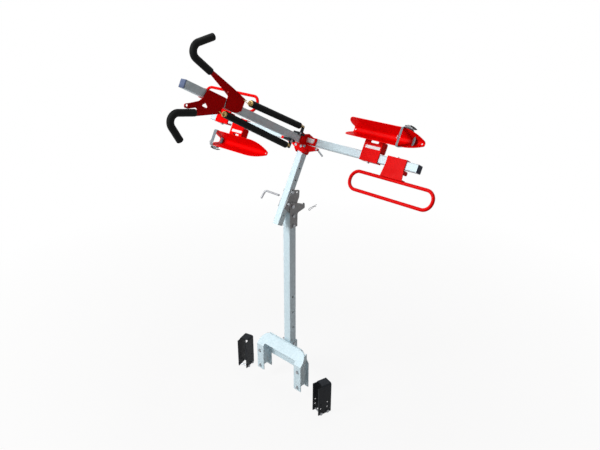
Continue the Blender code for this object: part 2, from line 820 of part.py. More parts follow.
def square_cap(name, side, depth, place, turn, rack):
    hole = side - 2 * TUBE_WALL - 2 * GAP
    rings = [
        (-CAP_PLUG, hole / math.sqrt(2), 4),
        (GAP, hole / math.sqrt(2), 4),
        (GAP, side / math.sqrt(2), 4),
        (depth - 0.003, side / math.sqrt(2), 4),
        (depth, (side - 0.006) / math.sqrt(2), 4),
    ]
    piece = stacked(name, rings, rack, sides=4, start=math.pi / 4)
    piece.location = place
    piece.rotation_euler = Euler(turn)
    return piece


def wheel_bar(rack):
    square_tube("wheel_bar", BAR, BAR_LEFT, BAR_RIGHT, seen_from_x, parent=rack)
    square_cap("bar_cap_right", BAR, BAR_CAP, (BAR_RIGHT, 0.0, 0.0), ALONG_X, rack)
    square_cap("bar_cap_left", BAR, BAR_CAP, (BAR_LEFT, 0.0, 0.0), AGAINST_X, rack)


def mast(rack):
    foot = BAR / 2 + FACE_SHEET + GAP
    square_tube("mast", MAST, foot, MAST_TIP, facing_mast, (0.0, -MAST_DROP), rack)
    square_cap("mast_cap", MAST, MAST_CAP, (0.0, -MAST_TIP, -MAST_DROP), AGAINST_Y, rack)


# Spring anchors: a foot on the mast and a lug with the spring's eye

def spring_anchor(name, out, side, rack):
    seat = side * (MAST / 2 + GAP)
    eye = side * ANCHOR_EYE
    low = (seat, seat + side * ANCHOR_FOOT)
    edge = SPRING_X + ANCHOR_SHEET / 2
    foot = [(-0.016, -ANCHOR_BACK), (edge, -ANCHOR_BACK), (edge, ANCHOR_FRONT), (-0.016, ANCHOR_FRONT)]
    foot = [(x, y + out) for x, y in foot]
    piece = prism(name, foot, low[0] - MAST_DROP, low[1] - MAST_DROP, above_mast, rack)
    lug = [
        (out - 0.012, seat - MAST_DROP),
        (out + 0.012, seat - MAST_DROP),
        (out + 0.009, eye + side * 0.009 - MAST_DROP),
        (out - 0.009, eye + side * 0.009 - MAST_DROP),
    ]
    lug = rounded(lug, [0.0, 0.0, 0.008, 0.008])
    join(piece, prism("lug", lug, SPRING_X - ANCHOR_SHEET / 2, SPRING_X + ANCHOR_SHEET / 2, beside_mast, rack))
    hole = SPRING_WIRE + EYE_PLAY
    cut(piece, drill(out, eye - MAST_DROP, hole, SPRING_X - MAST, SPRING_X + MAST, beside_mast, rack))
    return piece


# Brackets clamped on the wheel bar. They are drawn for one side, and turned over for the other.

def clamp_lip(half, side, thread, centre):
    hole = BAR / 2 + GAP
    low, high = -side * (hole + BRACKET_SHEET), -side * hole
    outline = [
        (centre - half, LIP_BACK),
        (centre + half, LIP_BACK),
        (centre + half, hole + BRACKET_SHEET / 2),
        (centre - half, hole + BRACKET_SHEET / 2),
    ]
    lip = prism("lip", outline, min(low, high), max(low, high), above_mast)
    cut(lip, drill(centre + CLAMP_OFFSET, 0.0, thread / 2 + BOLT_PLAY, -BAR, BAR, above_mast))
    return lip


def clamp_bolt(name, centre, side, rack):
    seat = -side * (BAR / 2 + BRACKET_SHEET + 2 * GAP)
    turn = ALONG_Z if side > 0 else AGAINST_Z
    place = (centre + CLAMP_OFFSET, 0.0, seat)
    return bolt(name, CLAMP_THREAD, BRACKET_SHEET, place, turn, rack, nut=False)


def bracket(name, centre, side, outline, flange, half, rack):
    hole = BAR / 2 + GAP
    web = [(centre + x, side * z) for x, z in outline]
    piece = prism(name, web, hole, hole + BRACKET_SHEET, facing_mast)
    for edge in (-half, half - BRACKET_SHEET):
        low, high = side * flange[0], side * flange[1]
        tip = hole + BRACKET_SHEET - FLANGE_DEPTH
        root = hole + BRACKET_SHEET / 2
        shape = [(root, low), (root, high), (tip, high), (tip, low)]
        shape = rounded(shape, [0.0, 0.0, 0.010, 0.010])
        join(piece, prism("flange", shape, centre + edge, centre + edge + BRACKET_SHEET, beside_mast))
    join(piece, clamp_lip(half, side, CLAMP_THREAD, centre))
    piece.parent = rack
    return piece


def tray_bracket(name, centre, side, rack):
    half = TRAY_BRACKET_HALF
    low = -BAR / 2 - GAP - BRACKET_SHEET
    top = TRAY_BRACKET_TOP
    web = rounded([(-half, low), (half, low), (half, top), (-half, top)], [0.0, 0.0, 0.008, 0.008])
    piece = bracket(name, centre, side, web, TRAY_FLANGE, half, None)
    across, up = centre + BRACKET_SLOT_X, side * BRACKET_SLOT_U
    cut(piece, slot_cutter(across, up, BRACKET_SLOT_WIDTH, BRACKET_SLOT, 0.0, BAR, facing_mast, level=True))
    piece.parent = rack
    return piece


def wheel_loop(name, centre, side, start, rack):
    half = LOOP_BRACKET_HALF
    low = BAR / 2 + GAP + BRACKET_SHEET
    flare = half + LOOP_BRACKET_FLARE
    foot = LOOP_NEAR + LOOP_WELD
    web = mirrored([(half, -low), (half, BAR / 2), (flare, foot)])
    piece = bracket(name, centre, side, web, LOOP_FLANGE, half, None)
    hole = BAR / 2 + GAP
    shelf = [(centre - flare, -LOOP_ROD), (centre + flare, -LOOP_ROD), (centre + flare, hole), (centre - flare, hole)]
    heights = sorted((side * (foot - BRACKET_SHEET), side * foot))
    join(piece, prism("shelf", shelf, *heights, above_mast))
    near, far = LOOP_NEAR + LOOP_ROD, LOOP_NEAR + LOOP_WIDTH - LOOP_ROD
    left, right = start + LOOP_ROD, start + LOOP_LENGTH - LOOP_ROD
    corners = [(left, near), (right, near), (right, far), (left, far)]
    path = rounded(corners, LOOP_CORNER, 5)
    ring = rod("ring", [(x, 0.0, side * z) for x, z in path], LOOP_ROD, 2, closed=True)
    join(piece, as_mesh(ring))
    piece.parent = rack
    return piece


# Wheel trays: a trough of sheet that narrows to a tip at +X

def tray_shape(x):
    narrow = max(0.0, (x - TRAY_TAPER) / (TRAY_LENGTH - TRAY_TAPER))
    half = TRAY_WIDTH / 2 - (TRAY_WIDTH / 2 - TRAY_TIP_HALF) * narrow ** 2.46
    foot = TRAY_FOOT - (TRAY_FOOT - TRAY_TIP_FOOT) * narrow ** 2
    floor = TRAY_TIP_RISE * narrow ** 2
    top = TRAY_HEIGHT - TRAY_TIP_DROP * narrow ** 1.65
    return half, foot, floor, top


# Each wall leans out from the foot of the trough to its top edge, with a rounded bend between
def tray_ring(half, foot, floor, top):
    lean = math.atan2(top - floor, half - foot)
    bend = math.tan(lean / 2)
    corner = min(TRAY_CORNER, (foot - 0.0005) / bend, (top - floor) / 2 / bend)
    hub = (foot - corner * bend, floor + corner)
    down = -math.pi / 2
    outer = arc(hub, corner, down, down + lean, 4) + [(half, top)]
    inner = arc(hub, corner - TRAY_SHEET, down, down + lean, 4) + [(half - TRAY_SHEET / math.sin(lean), top)]
    ring = [(-u, n) for u, n in outer[::-1]] + outer
    ring += inner[::-1] + [(-u, n) for u, n in inner]
    return ring


TRAY_FLOOR = BAR / 2 + BRACKET_SHEET + 2 * GAP


# What is cut off the blunt end, seen from the side: both walls end in round lobes, and the floor stops short
def tray_end(blunt, middle, rack):
    lobe = TRAY_HEIGHT / 2
    low, high = TRAY_FLOOR, TRAY_FLOOR + TRAY_HEIGHT
    meeting = math.pi + math.acos((lobe - TRAY_FLOOR_END) / lobe)
    outside = blunt - lobe
    outline = [(outside, low - SHEET), (blunt + TRAY_FLOOR_END, low - SHEET)]
    outline += arc((blunt + lobe, low + lobe), lobe, meeting, math.pi / 2, 12)
    outline += [(blunt + lobe, high + SHEET), (outside, high + SHEET)]
    return prism("end", outline, middle - TRAY_WIDTH, middle + TRAY_WIDTH, above_mast, rack)


def wheel_tray(name, blunt, middle, rack):
    taper = TRAY_LENGTH - TRAY_TAPER
    stops = [-SHEET, 0.5 * TRAY_TAPER, TRAY_TAPER]
    stops += [TRAY_TAPER + taper * share for share in (0.2, 0.4, 0.55, 0.7, 0.8, 0.9, 1.0)]
    shape = bmesh.new()
    loops = []
    for x in stops:
        ring = tray_ring(*tray_shape(x))
        loops.append([shape.verts.new((blunt + x, -TRAY_FLOOR - n, middle + u)) for u, n in ring])
    shape.faces.new(loops[0])
    shape.faces.new(loops[-1])
    count = len(loops[0])
    for below, above in zip(loops, loops[1:]):
        for i in range(count):
            j = (i + 1) % count
            shape.faces.new((below[i], below[j], above[j], above[i]))
    piece = finish_mesh(name, shape)
    cut(piece, tray_end(blunt, middle, None))
    for x in TRAY_HOLES:
        cut(piece, drill(blunt + x, middle, TRAY_HOLE, 0.0, TRAY_FLOOR + TRAY_HEIGHT, facing_mast, sides=8))
    piece.parent = rack
    return piece


# A strap's loop is drawn in a plane of its own: across the tray, and up from the floor to the arch

# On the ratchet's side it stands up straight from its slot, on the other it follows the wall
def strap_outline(side, height, extra):
    half = STRAP_HALF
    out, up = STRAP_EXIT
    upright = height - BUCKLE_DROP - BUCKLE_LENGTH
    follow = height - 0.017
    rises = {-side: max(upright, up + 0.004), side: follow}
    shape = [(-STRAP_FLOOR_HALF, 0.0), (STRAP_FLOOR_HALF, 0.0), (out, up), (half, rises[1])]
    shape += [(half, height - STRAP_ARCH), (half - STRAP_ARCH, height)]
    shape += [(STRAP_ARCH - half, height), (-half, height - STRAP_ARCH)]
    shape += [(-half, rises[-1]), (-out, up)]
    middle = Vector((0.0, height / 2))
    outer = []
    inner = []
    radii = [0.004, 0.004, 0.004, 0.005, 0.003, 0.003, 0.003, 0.003, 0.005, 0.004]
    for point in rounded(shape, radii, 2):
        outer.append(point)
    loop = [Vector(point) for point in outer]
    count = len(loop)
    outer = []
    for i, here in enumerate(loop):
        along = (loop[(i + 1) % count] - loop[i - 1]).normalized()
        normal = Vector((along[1], -along[0]))
        if normal.dot(here - middle) < 0:
            normal = -normal
        outer.append(here + normal * extra)
        inner.append(here - normal * (STRAP_SHEET + extra))
    return outer, inner


def strap_frame(name, foot, head, middle, rack):
    rise = math.atan2(head[0] - foot[0], head[1] - foot[1])
    place = (foot[0], -foot[1], middle)
    turn = Euler((math.pi / 2, 0.0, 0.0)).to_matrix() @ Euler((0.0, rise, 0.0)).to_matrix()
    return frame_empty(name, place, turn.to_euler(), rack)


def strap_pieces(side_name, tray, index, side, middle, rack):
    foot = (STRAP_FOOT_X[index], STRAP_FOOT[index])
    head = (STRAP_HEAD_X[index], STRAP_HEAD[index])
    height = math.hypot(head[0] - foot[0], head[1] - foot[1])
    holder = strap_frame(f"strap_frame_{side_name}", foot, head, middle, rack)
    loops = strap_outline(side, height, 0.0)
    band = STRAP_BAND / 2
    hollow_prism(f"wheel_strap_{side_name}", *loops, -band, band, strap_view, holder)
    wide = strap_outline(side, height, STRAP_SLACK)
    reach = band + STRAP_SLACK
    cutter = hollow_prism("slots", *wide, -reach, reach, strap_view, holder)
    cut(tray, cutter)
    return holder, height


# Across the tray is the arm's up, the strap's height is local Z, and the band's width is local X
def strap_view(across, up, depth):
    return (depth, -across, up)


# The ratchet sits on the strap's outer side, with its pin near the arch and its lever pointing to the floor
def ratchet(side_name, holder, height, side):
    seat = STRAP_HALF + GAP
    top = height - BUCKLE_DROP
    low = top - BUCKLE_LENGTH
    band = STRAP_BAND / 2 + 0.003

    def on_side(out, up, depth):
        return (depth, side * (seat + out), up)

    base = [(0.0, low), (BUCKLE_PLATE, low), (BUCKLE_PLATE, top), (0.0, top)]
    body = prism(f"strap_buckle_{side_name}", base, -band, band, on_side, holder)
    cheek = [(0.001, top - 0.002), (BUCKLE_DEPTH, top - 0.002), (BUCKLE_DEPTH, top - 0.016), (0.001, top - 0.024)]
    pin_out, pin_up = BUCKLE_DEPTH - 0.004, top - 0.009
    for edge in (-band, band - BUCKLE_CHEEK):
        join(body, prism("cheek", cheek, edge, edge + BUCKLE_CHEEK, on_side, holder))
    pin = drill(pin_out, pin_up, BUCKLE_PIN, -band + 0.001, band - 0.001, on_side, holder, sides=10)
    join(body, pin)
    inside = band - BUCKLE_CHEEK - GAP
    knuckle = drill(pin_out, pin_up, BUCKLE_PIN + 0.0022, -inside, inside, on_side, holder)
    knuckle.name = f"buckle_lever_{side_name}"
    tip = pin_up - LEVER_ARM
    plate = [
        (pin_out, pin_up),
        (pin_out + 0.0038, pin_up),
        (pin_out + 0.0070, pin_up - 0.25 * LEVER_ARM),
        (pin_out + 0.0052, pin_up - 0.60 * LEVER_ARM),
        (pin_out - 0.0010, tip),
        (pin_out - 0.0010 - LEVER_PLATE, tip + 0.001),
        (pin_out + 0.0024, pin_up - 0.60 * LEVER_ARM),
        (pin_out + 0.0040, pin_up - 0.25 * LEVER_ARM),
    ]
    join(knuckle, prism("plate", plate, -inside, inside, on_side, holder))
    cut(knuckle, drill(pin_out, pin_up, BUCKLE_PIN + GAP, -MAST, MAST, on_side, holder, sides=10))
    return body, knuckle


# Sprung hooks. Their outlines run out along the mast and away from the mast's axis.

def off_axis(points):
    return [(out, up - MAST_DROP) for out, up in points]


def hook_path(start, corner, tip):
    path = rounded([start, corner, tip], [0.0, HOOK_BEND, 0.0], 7, closed=False, share=0.6)
    return [(HOOK_CENTRE, -out, up - MAST_DROP) for out, up in path]


HOOK_INSIDE = MAST / 2 + SLIDE_PLAY
HOOK_PLATE = HOOK_INSIDE + SLEEVE_WALL - 0.0005
HOOK_CENTRE = HOOK_PLATE + HOOK_SHEET / 2


def carriage(name, span, outline, eye, cutters, rack):
    outer = square(2 * (HOOK_INSIDE + SLEEVE_WALL), 0.003, 1, (0.0, -MAST_DROP))
    inner = square(2 * HOOK_INSIDE, 0.001, 1, (0.0, -MAST_DROP))
    piece = hollow_prism(name, outer, inner, span[0], span[1], facing_mast, rack)
    plate = prism("plate", off_axis(outline), HOOK_PLATE, HOOK_PLATE + HOOK_SHEET, beside_mast, rack)
    for shape in cutters:
        cut(plate, prism("window", off_axis(shape), 0.0, MAST, beside_mast, rack))
    cut(plate, drill(eye[0], eye[1] - MAST_DROP, SPRING_WIRE + EYE_PLAY, 0.0, MAST, beside_mast, rack))
    return join(piece, plate)


def upper_hook(rack):
    box_low, box_high = UPPER_BOX
    edge = -(MAST / 2 + 0.001)
    outline = [
        (UPPER_EYE[0] - 0.008, edge + 0.016),
        (box_low, edge),
        (box_high, edge),
        (box_high + 0.006, -edge + 0.013),
        (box_high + 0.049, 0.050),
        (0.7705, 0.0835),
        (0.7635, 0.1030),
        (box_high + 0.001, 0.077),
        (UPPER_EYE[0] - 0.010, UPPER_EYE[1] + 0.007),
    ]
    outline = rounded(outline, [0.004, 0.004, 0.004, 0.004, 0.02, 0.0, 0.0, 0.02, 0.006])
    hole = [(0.645 + a, 0.050 + b) for a, b in arc((0.0, 0.0), 0.004, 0.0, 1.75 * math.pi, 7)]
    piece = carriage("hook_carriage_upper", UPPER_BOX, outline, UPPER_EYE, [hole], rack)
    return hook_rod(piece, "hook_grip_upper", *UPPER_HOOK, rack)


def lower_hook(rack):
    box_low, box_high = LOWER_BOX
    edge = MAST / 2 + 0.001
    outline = [
        (box_low, edge),
        (box_high, edge),
        (box_high + 0.010, -0.022),
        (box_high + 0.025, -0.041),
        (TAB_HOLE[0] - 0.009, TAB_HOLE[1] + 0.013),
        (TAB_HOLE[0] + 0.013, TAB_HOLE[1] + 0.003),
        (TAB_HOLE[0] + 0.010, TAB_HOLE[1] - 0.013),
        (TAB_HOLE[0] - 0.009, TAB_HOLE[1] - 0.012),
        (0.789, -0.0736),
        (0.779, -0.0755),
        (0.772, -0.106),
        (LOWER_EYE[0] - 0.021, LOWER_EYE[1] - 0.004),
        (LOWER_EYE[0] - 0.010, LOWER_EYE[1] + 0.010),
        (box_low, -edge),
    ]
    radii = [0.004, 0.004, 0.01, 0.01, 0.01, 0.007, 0.007, 0.01, 0.008, 0.0, 0.0, 0.005, 0.005, 0.004]
    outline = rounded(outline, radii, 2)
    window = rounded([(0.719, -0.056), (0.766, -0.056), (0.744, -0.037)], 0.004, 2)
    half = TAB_SLOT[1] / 2
    straight = TAB_SLOT[0] / 2 - half
    right = arc((TAB_HOLE[0] + straight, TAB_HOLE[1]), half, -math.pi / 2, math.pi / 2, 4)
    left = arc((TAB_HOLE[0] - straight, TAB_HOLE[1]), half, math.pi / 2, 1.5 * math.pi, 4)
    piece = carriage("hook_carriage_lower", LOWER_BOX, outline, LOWER_EYE, [window, right + left], rack)
    return hook_rod(piece, "hook_grip_lower", *LOWER_HOOK, rack)


# A bent rod welded to the carriage, inside a foam grip
def hook_rod(piece, grip_name, start, corner, tip, rack):
    first = (Vector(corner) - Vector(start)).normalized()
    last = (Vector(tip) - Vector(corner)).normalized()
    root = Vector(start) - first * 0.030
    inner_tip = Vector(tip) - last * 0.008
    core = as_mesh(rod("core", hook_path(root, corner, inner_tip), HOOK_ROD, 2, parent=rack))
    join(piece, core)
    grip = as_mesh(rod(grip_name, hook_path(start, corner, tip), GRIP, 4, parent=rack))
    mouth = Vector(start) - first * 0.010
    bore_tip = inner_tip + last * GAP
    bore = as_mesh(rod("bore", hook_path(mouth, corner, bore_tip), HOOK_ROD + GAP, 2, parent=rack))
    cut(grip, bore)
    return piece, grip


# Extension springs: one wire that hooks on, winds inside the sleeve, and hooks on again

def spring_wire(anchor, sleeve, eye, up):
    centre = Vector((SPRING_X, up))
    low, high = sleeve[0] - SPRING_SHOW, sleeve[1] + SPRING_SHOW
    turn = 2 * math.pi
    start = math.pi / 2
    coil = []
    steps = SPRING_TURNS * SPRING_POINTS + SPRING_POINTS // 2
    for i in range(steps + 1):
        angle = start + turn * i / SPRING_POINTS
        out = low + (high - low) * i / steps
        coil.append((centre[0] + SPRING_COIL * math.cos(angle), out, centre[1] + SPRING_COIL * math.sin(angle)))
    return spring_end(anchor, low, up, -1)[::-1] + coil + spring_end(eye, high, up, 1)


# The end hook: the wire runs in beside the eye, goes through it along X and comes part way back
def spring_end(eye, coil_end, up, way):
    lift = -way * SPRING_COIL
    back = eye - way * 0.6 * abs(eye - coil_end)
    path = [
        (SPRING_X + EYE_HALF, coil_end + way * 0.006, up + lift * 0.85),
        (SPRING_X + EYE_HALF, eye - way * 2 * EYE_BEND, up + lift * 0.10),
        (SPRING_X + EYE_HALF, eye, up),
        (SPRING_X - EYE_HALF, eye, up),
        (SPRING_X - EYE_HALF, back, up - lift * 0.55),
    ]
    return rounded(path, [0.0, 0.004, EYE_BEND, EYE_BEND, 0.0], 2, closed=False)


# The least distance between wire stretches that aren't neighbours, less the wire's thickness
def least_gap(points):
    best = 1.0
    for i in range(len(points)):
        for j in range(i + SPRING_POINTS // 2, len(points)):
            best = min(best, (Vector(points[i]) - Vector(points[j])).length)
    return best - 2 * SPRING_WIRE


# Drawn along the mast, then tipped about the hook's eye so that its other end meets the anchor's eye
def spring(level, anchor, sleeve, eye, rack):
    away = math.copysign(ANCHOR_EYE, eye[1]) - eye[1]
    tip = math.atan2(away, eye[0] - anchor)
    holder = frame_empty(f"spring_frame_{level}", (0.0, -eye[0], eye[1] - MAST_DROP), (tip, 0.0, 0.0), rack)
    reach = math.hypot(away, eye[0] - anchor)
    wire = [(x, eye[0] - out, z) for x, out, z in spring_wire(eye[0] - reach, sleeve, eye[0], 0.0)]
    print(f"{level} spring: least gap to itself {1000 * least_gap(wire):.2f} mm")
    as_mesh(rod(f"hook_spring_{level}", wire, SPRING_WIRE, 1, parent=holder))
    centre = (SPRING_X, 0.0)
    turn = 2 * math.pi * 15 / 16
    outer = arc(centre, SLEEVE, 0.0, turn, 15)
    inner = arc(centre, SLEEVE_BORE, 0.0, turn, 15)
    low, high = sleeve[0] - eye[0], sleeve[1] - eye[0]
    hollow_prism(f"spring_sleeve_{level}", outer, inner, low, high, facing_mast, holder)


# Pieces drawn apart

def lock_pin():
    across, up = lock_point(LOCK_ANGLE)
    place = (PIN_TIP_X, PIVOT_Y + across, PIVOT_Z + up)
    down = math.radians(-133.0)
    bend = -PIN_SHAFT
    handle = (bend, PIN_HANDLE * math.cos(down), PIN_HANDLE * math.sin(down))
    path = rounded([(0.0, 0.0, 0.0), (bend, 0.0, 0.0), handle], [0.0, PIN_BEND, 0.0], 4, closed=False)
    piece = as_mesh(rod("lock_pin", path, PIN_ROD, 3))
    hole = peg("hole", PIN_HOLE, 4 * PIN_ROD, sides=8)
    hole.rotation_euler = Euler((CLIP_TILT - math.pi / 2, 0.0, 0.0))
    hole.location = Vector((-PIN_HOLE_INSET, 0.0, 0.0)) - 2 * PIN_ROD * clip_axis()
    cut(piece, hole)
    piece.location = place
    return piece


def clip_axis():
    return Vector((0.0, math.cos(CLIP_TILT), math.sin(CLIP_TILT)))


# The clip lies across the pin: one leg goes through it, the other bows round it
def r_clip():
    across, up = lock_point(LOCK_ANGLE)
    bow = PIN_ROD + CLIP_WIRE + 0.0008
    eye = 0.0065
    path = [(0.036, 0.0), (-0.018, 0.0)]
    path += arc((-0.022, -eye), eye, math.radians(70), math.radians(310), 10)
    path += [(-0.012, -bow - 0.001)]
    path += arc((0.0, 0.0), bow, math.radians(230), math.radians(320), 5)
    path += [(0.014, -0.0035), (0.030, -0.0095)]
    along = clip_axis()
    upright = Vector((0.0, -along[2], along[1]))
    points = [along * a + upright * b for a, b in path]
    piece = as_mesh(rod("r_clip", points, CLIP_WIRE, 1))
    piece.location = (CLIP_X, PIVOT_Y + across, PIVOT_Z + up)
    return piece


def saddle(side_name, side):
    holder = frame_empty(f"saddle_frame_{side_name}", (side * SADDLE_X, SADDLE_Y, 0.0), (0.0, 0.0, -side * SADDLE_TURN))
    half = SADDLE_WIDTH / 2
    inside = half - SHEET
    outline = [
        (-half, SADDLE_BOTTOM),
        (-inside, SADDLE_BOTTOM),
        (-inside, 0.0),
        (inside, 0.0),
        (inside, SADDLE_BOTTOM),
        (half, SADDLE_BOTTOM),
        (half, SADDLE_CAP),
        (-half, SADDLE_CAP),
    ]
    outline = rounded(outline, [0.0, 0.0, 0.002, 0.002, 0.0, 0.0, SADDLE_ROUND, SADDLE_ROUND], 4)
    back = SADDLE_LENGTH / 2
    piece = prism(f"saddle_{side_name}", outline, -back, back, seen_from_y, holder)
    step = -back + SADDLE_OPEN
    cut(piece, box("front", (-half, half), (-SADDLE_LENGTH, step), (-SHEET, 2 * SADDLE_CAP), holder))
    for y in SADDLE_COLUMNS:
        for row in range(SADDLE_ROWS):
            z = SADDLE_BOTTOM + SADDLE_ROW + SADDLE_PITCH * row
            cut(piece, drill(y, z, M10 / 2 + BOLT_PLAY, -SADDLE_WIDTH, SADDLE_WIDTH, seen_from_x, holder))
    reach = half + GAP
    turn = AGAINST_X if side > 0 else ALONG_X
    for place, y in zip(("front", "rear"), SADDLE_COLUMNS):
        spot = (side * reach, y, SADDLE_BOTTOM + SADDLE_ROW)
        bolt(f"saddle_bolt_{side_name}_{place}", M10, 2 * reach, spot, turn, holder)


def paint_for(name):
    starts = {
        "red_paint": ("head_bracket", "tray_bracket", "wheel_loop", "wheel_tray", "hook_carriage"),
        "foam": ("hook_grip",),
        "rubber": ("spring_sleeve",),
        "brass": ("hook_spring",),
        "cap_plastic": ("bar_cap", "mast_cap"),
        "webbing": ("wheel_strap",),
        "black_steel": ("spring_anchor", "buckle_lever"),
        "bare_steel": ("strap_buckle", "head_bolt", "head_lever", "clamp_bolt", "r_clip"),
    }
    for paint, names in starts.items():
        if name.startswith(names):
            return paint
    if name in ("saddle_right", "saddle_left"):
        return "black_steel"
    return "zinc"


def paint_all():
    materials = {}
    for paint, (colour, roughness, metallic) in PAINTS.items():
        material = bpy.data.materials.new(paint)
        material.use_nodes = True
        shader = material.node_tree.nodes["Principled BSDF"]
        shader.inputs["Base Color"].default_value = (*colour, 1.0)
        shader.inputs["Roughness"].default_value = roughness
        shader.inputs["Metallic"].default_value = metallic
        materials[paint] = material
    for piece in bpy.data.objects:
        if piece.type not in {"MESH", "CURVE"}:
            continue
        piece.data.materials.clear()
        piece.data.materials.append(materials[paint_for(piece.name)])
        if piece.type == "MESH":
            piece.data.shade_smooth()
            piece.data.set_sharp_from_angle(angle=math.radians(35))


def main():
    clear_scene()
    bridge_front_plate()
    bridge_back_plate()
    leg_bolts()
    lower_post()
    socket_bolt()
    hinge_ears()
    hinge_bolts()
    arm = frame_empty("arm_frame", (0.0, PIVOT_Y, PIVOT_Z), (-LEAN, 0.0, 0.0))
    arm_tube(arm)
    arm_plates(arm)
    rack = frame_empty("rack_frame", (0.0, -ARM_OFFSET, BAR_ABOVE_PIVOT), (0.0, 0.0, 0.0), arm)
    head_bracket(rack)
    head_bolt(rack)
    head_lever(rack)
    wheel_bar(rack)
    mast(rack)
    spring_anchor("spring_anchor_upper", UPPER_ANCHOR, 1, rack)
    spring_anchor("spring_anchor_lower", LOWER_ANCHOR, -1, rack)
    sides = (("right", 1), ("left", -1))
    for index, (name, side) in enumerate(sides):
        tray_bracket(f"tray_bracket_{name}", TRAY_BRACKET_X[index], side, rack)
        clamp_bolt(f"clamp_bolt_tray_{name}", TRAY_BRACKET_X[index], side, rack)
        middle = side * TRAY_U[index]
        tray = wheel_tray(f"wheel_tray_{name}", TRAY_BLUNT_X[index], middle, rack)
        holder, height = strap_pieces(name, tray, index, side, middle, rack)
        ratchet(name, holder, height, side)
    for index, (name, side) in enumerate(sides):
        centre = LOOP_BRACKET_X[index]
        start = centre + LOOP_SHIFT[index] - LOOP_LENGTH / 2
        wheel_loop(f"wheel_loop_{name}", centre, -side, start, rack)
        clamp_bolt(f"clamp_bolt_loop_{name}", centre, -side, rack)
    upper_hook(rack)
    lower_hook(rack)
    spring("upper", UPPER_ANCHOR, UPPER_SLEEVE, UPPER_EYE, rack)
    spring("lower", LOWER_ANCHOR, LOWER_SLEEVE, LOWER_EYE, rack)
    lock_pin()
    r_clip()
    for name, side in sides:
        saddle(name, side)
    paint_all()


main()
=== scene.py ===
import bpy
import json
import math
import numpy as np
from mathutils import Matrix


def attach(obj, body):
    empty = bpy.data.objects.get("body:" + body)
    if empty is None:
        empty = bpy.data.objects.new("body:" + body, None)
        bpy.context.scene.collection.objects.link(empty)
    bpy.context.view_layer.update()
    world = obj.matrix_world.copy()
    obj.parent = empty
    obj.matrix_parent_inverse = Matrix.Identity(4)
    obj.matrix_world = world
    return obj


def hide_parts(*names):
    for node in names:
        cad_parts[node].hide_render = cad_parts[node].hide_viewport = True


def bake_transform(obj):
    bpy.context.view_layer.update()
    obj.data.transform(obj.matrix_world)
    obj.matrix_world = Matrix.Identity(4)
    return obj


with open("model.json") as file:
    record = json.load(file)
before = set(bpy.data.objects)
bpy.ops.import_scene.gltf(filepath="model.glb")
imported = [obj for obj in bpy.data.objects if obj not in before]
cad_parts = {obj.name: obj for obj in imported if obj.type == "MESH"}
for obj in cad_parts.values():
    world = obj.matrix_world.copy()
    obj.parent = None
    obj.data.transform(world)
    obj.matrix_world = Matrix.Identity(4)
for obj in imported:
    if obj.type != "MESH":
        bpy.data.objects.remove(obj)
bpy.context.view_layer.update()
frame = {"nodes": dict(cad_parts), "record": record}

nodes = frame["nodes"]

# The rack stands on a leaning arm: along the bar, out along the mast, and up along the arm
rack = {
    "lean": 28.4,
    "barCentre": (0.0, 0.13245, 1.30777),
    "mastAxis": -0.009,
    "hookPlane": 0.0239,
}
leanAngle = math.radians(rack["lean"])
alongBar = np.array([1.0, 0.0, 0.0])
outward = np.array([0.0, -math.cos(leanAngle), math.sin(leanAngle)])
upward = np.array([0.0, math.sin(leanAngle), math.cos(leanAngle)])
rackAxes = np.stack([alongBar, outward, upward])


def onRack(points):
    # columns are along the bar, out along the mast and up along the arm, from the bar's centre
    return np.array(rack["barCentre"]) + np.asarray(points, float) @ rackAxes


def unit(vectors):
    # each vector divided by its own length
    return vectors / np.linalg.norm(vectors, axis=-1, keepdims=True)


# Camera, floor and light

studio = {
    "eye": (2.0598, -2.1440, 2.1889),
    "heading": 42.740,
    "downTilt": 24.116,
    "roll": 0.154,
    "lens": 35.62,
    "sensor": 36.0,
    "ambient": (0.212, 0.170, 0.156),
    "lamps": {
        "key": {"place": (-1.6, -4.6, 4.0), "aim": (0.0, 0.0, 1.1), "size": 2.4, "power": 325.0},
        "fill": {"place": (4.2, -1.6, 2.6), "aim": (0.0, 0.0, 1.2), "size": 3.0, "power": 4.0},
        "top": {"place": (-0.6, 1.4, 4.6), "aim": (0.0, 0.0, 1.0), "size": 2.6, "power": 60.0},
    },
}


def standing(right, above, back, place):
    # the matrix of something whose own axes are these three, at this place
    matrix = np.eye(4)
    matrix[:3] = np.stack([right, above, back, place], -1)
    return Matrix(matrix.tolist())


def addCamera():
    heading = math.radians(studio["heading"])
    tilt = math.radians(studio["downTilt"])
    roll = math.radians(studio["roll"])
    level = math.cos(tilt)
    ahead = np.array([-math.sin(heading) * level, math.cos(heading) * level, -math.sin(tilt)])
    right = np.array([math.cos(heading), math.sin(heading), 0.0])
    above = np.cross(right, ahead)
    rolledRight = right * math.cos(roll) + above * math.sin(roll)
    rolledUp = above * math.cos(roll) - right * math.sin(roll)
    data = bpy.data.cameras.new("camera")
    data.lens = studio["lens"]
    data.sensor_width = studio["sensor"]
    camera = bpy.data.objects.new("camera", data)
    camera.matrix_world = standing(rolledRight, rolledUp, -ahead, studio["eye"])
    bpy.context.scene.collection.objects.link(camera)
    bpy.context.scene.camera = camera


def seenShare(tree):
    # 1 for rays from the camera, a mirror or glass, 0 for the rays that light the object
    path = tree.nodes.new("ShaderNodeLightPath")
    share = path.outputs["Is Camera Ray"]
    for other in ("Is Glossy Ray", "Is Transmission Ray"):
        share = maths(tree, "MAXIMUM", share, path.outputs[other])
    return share


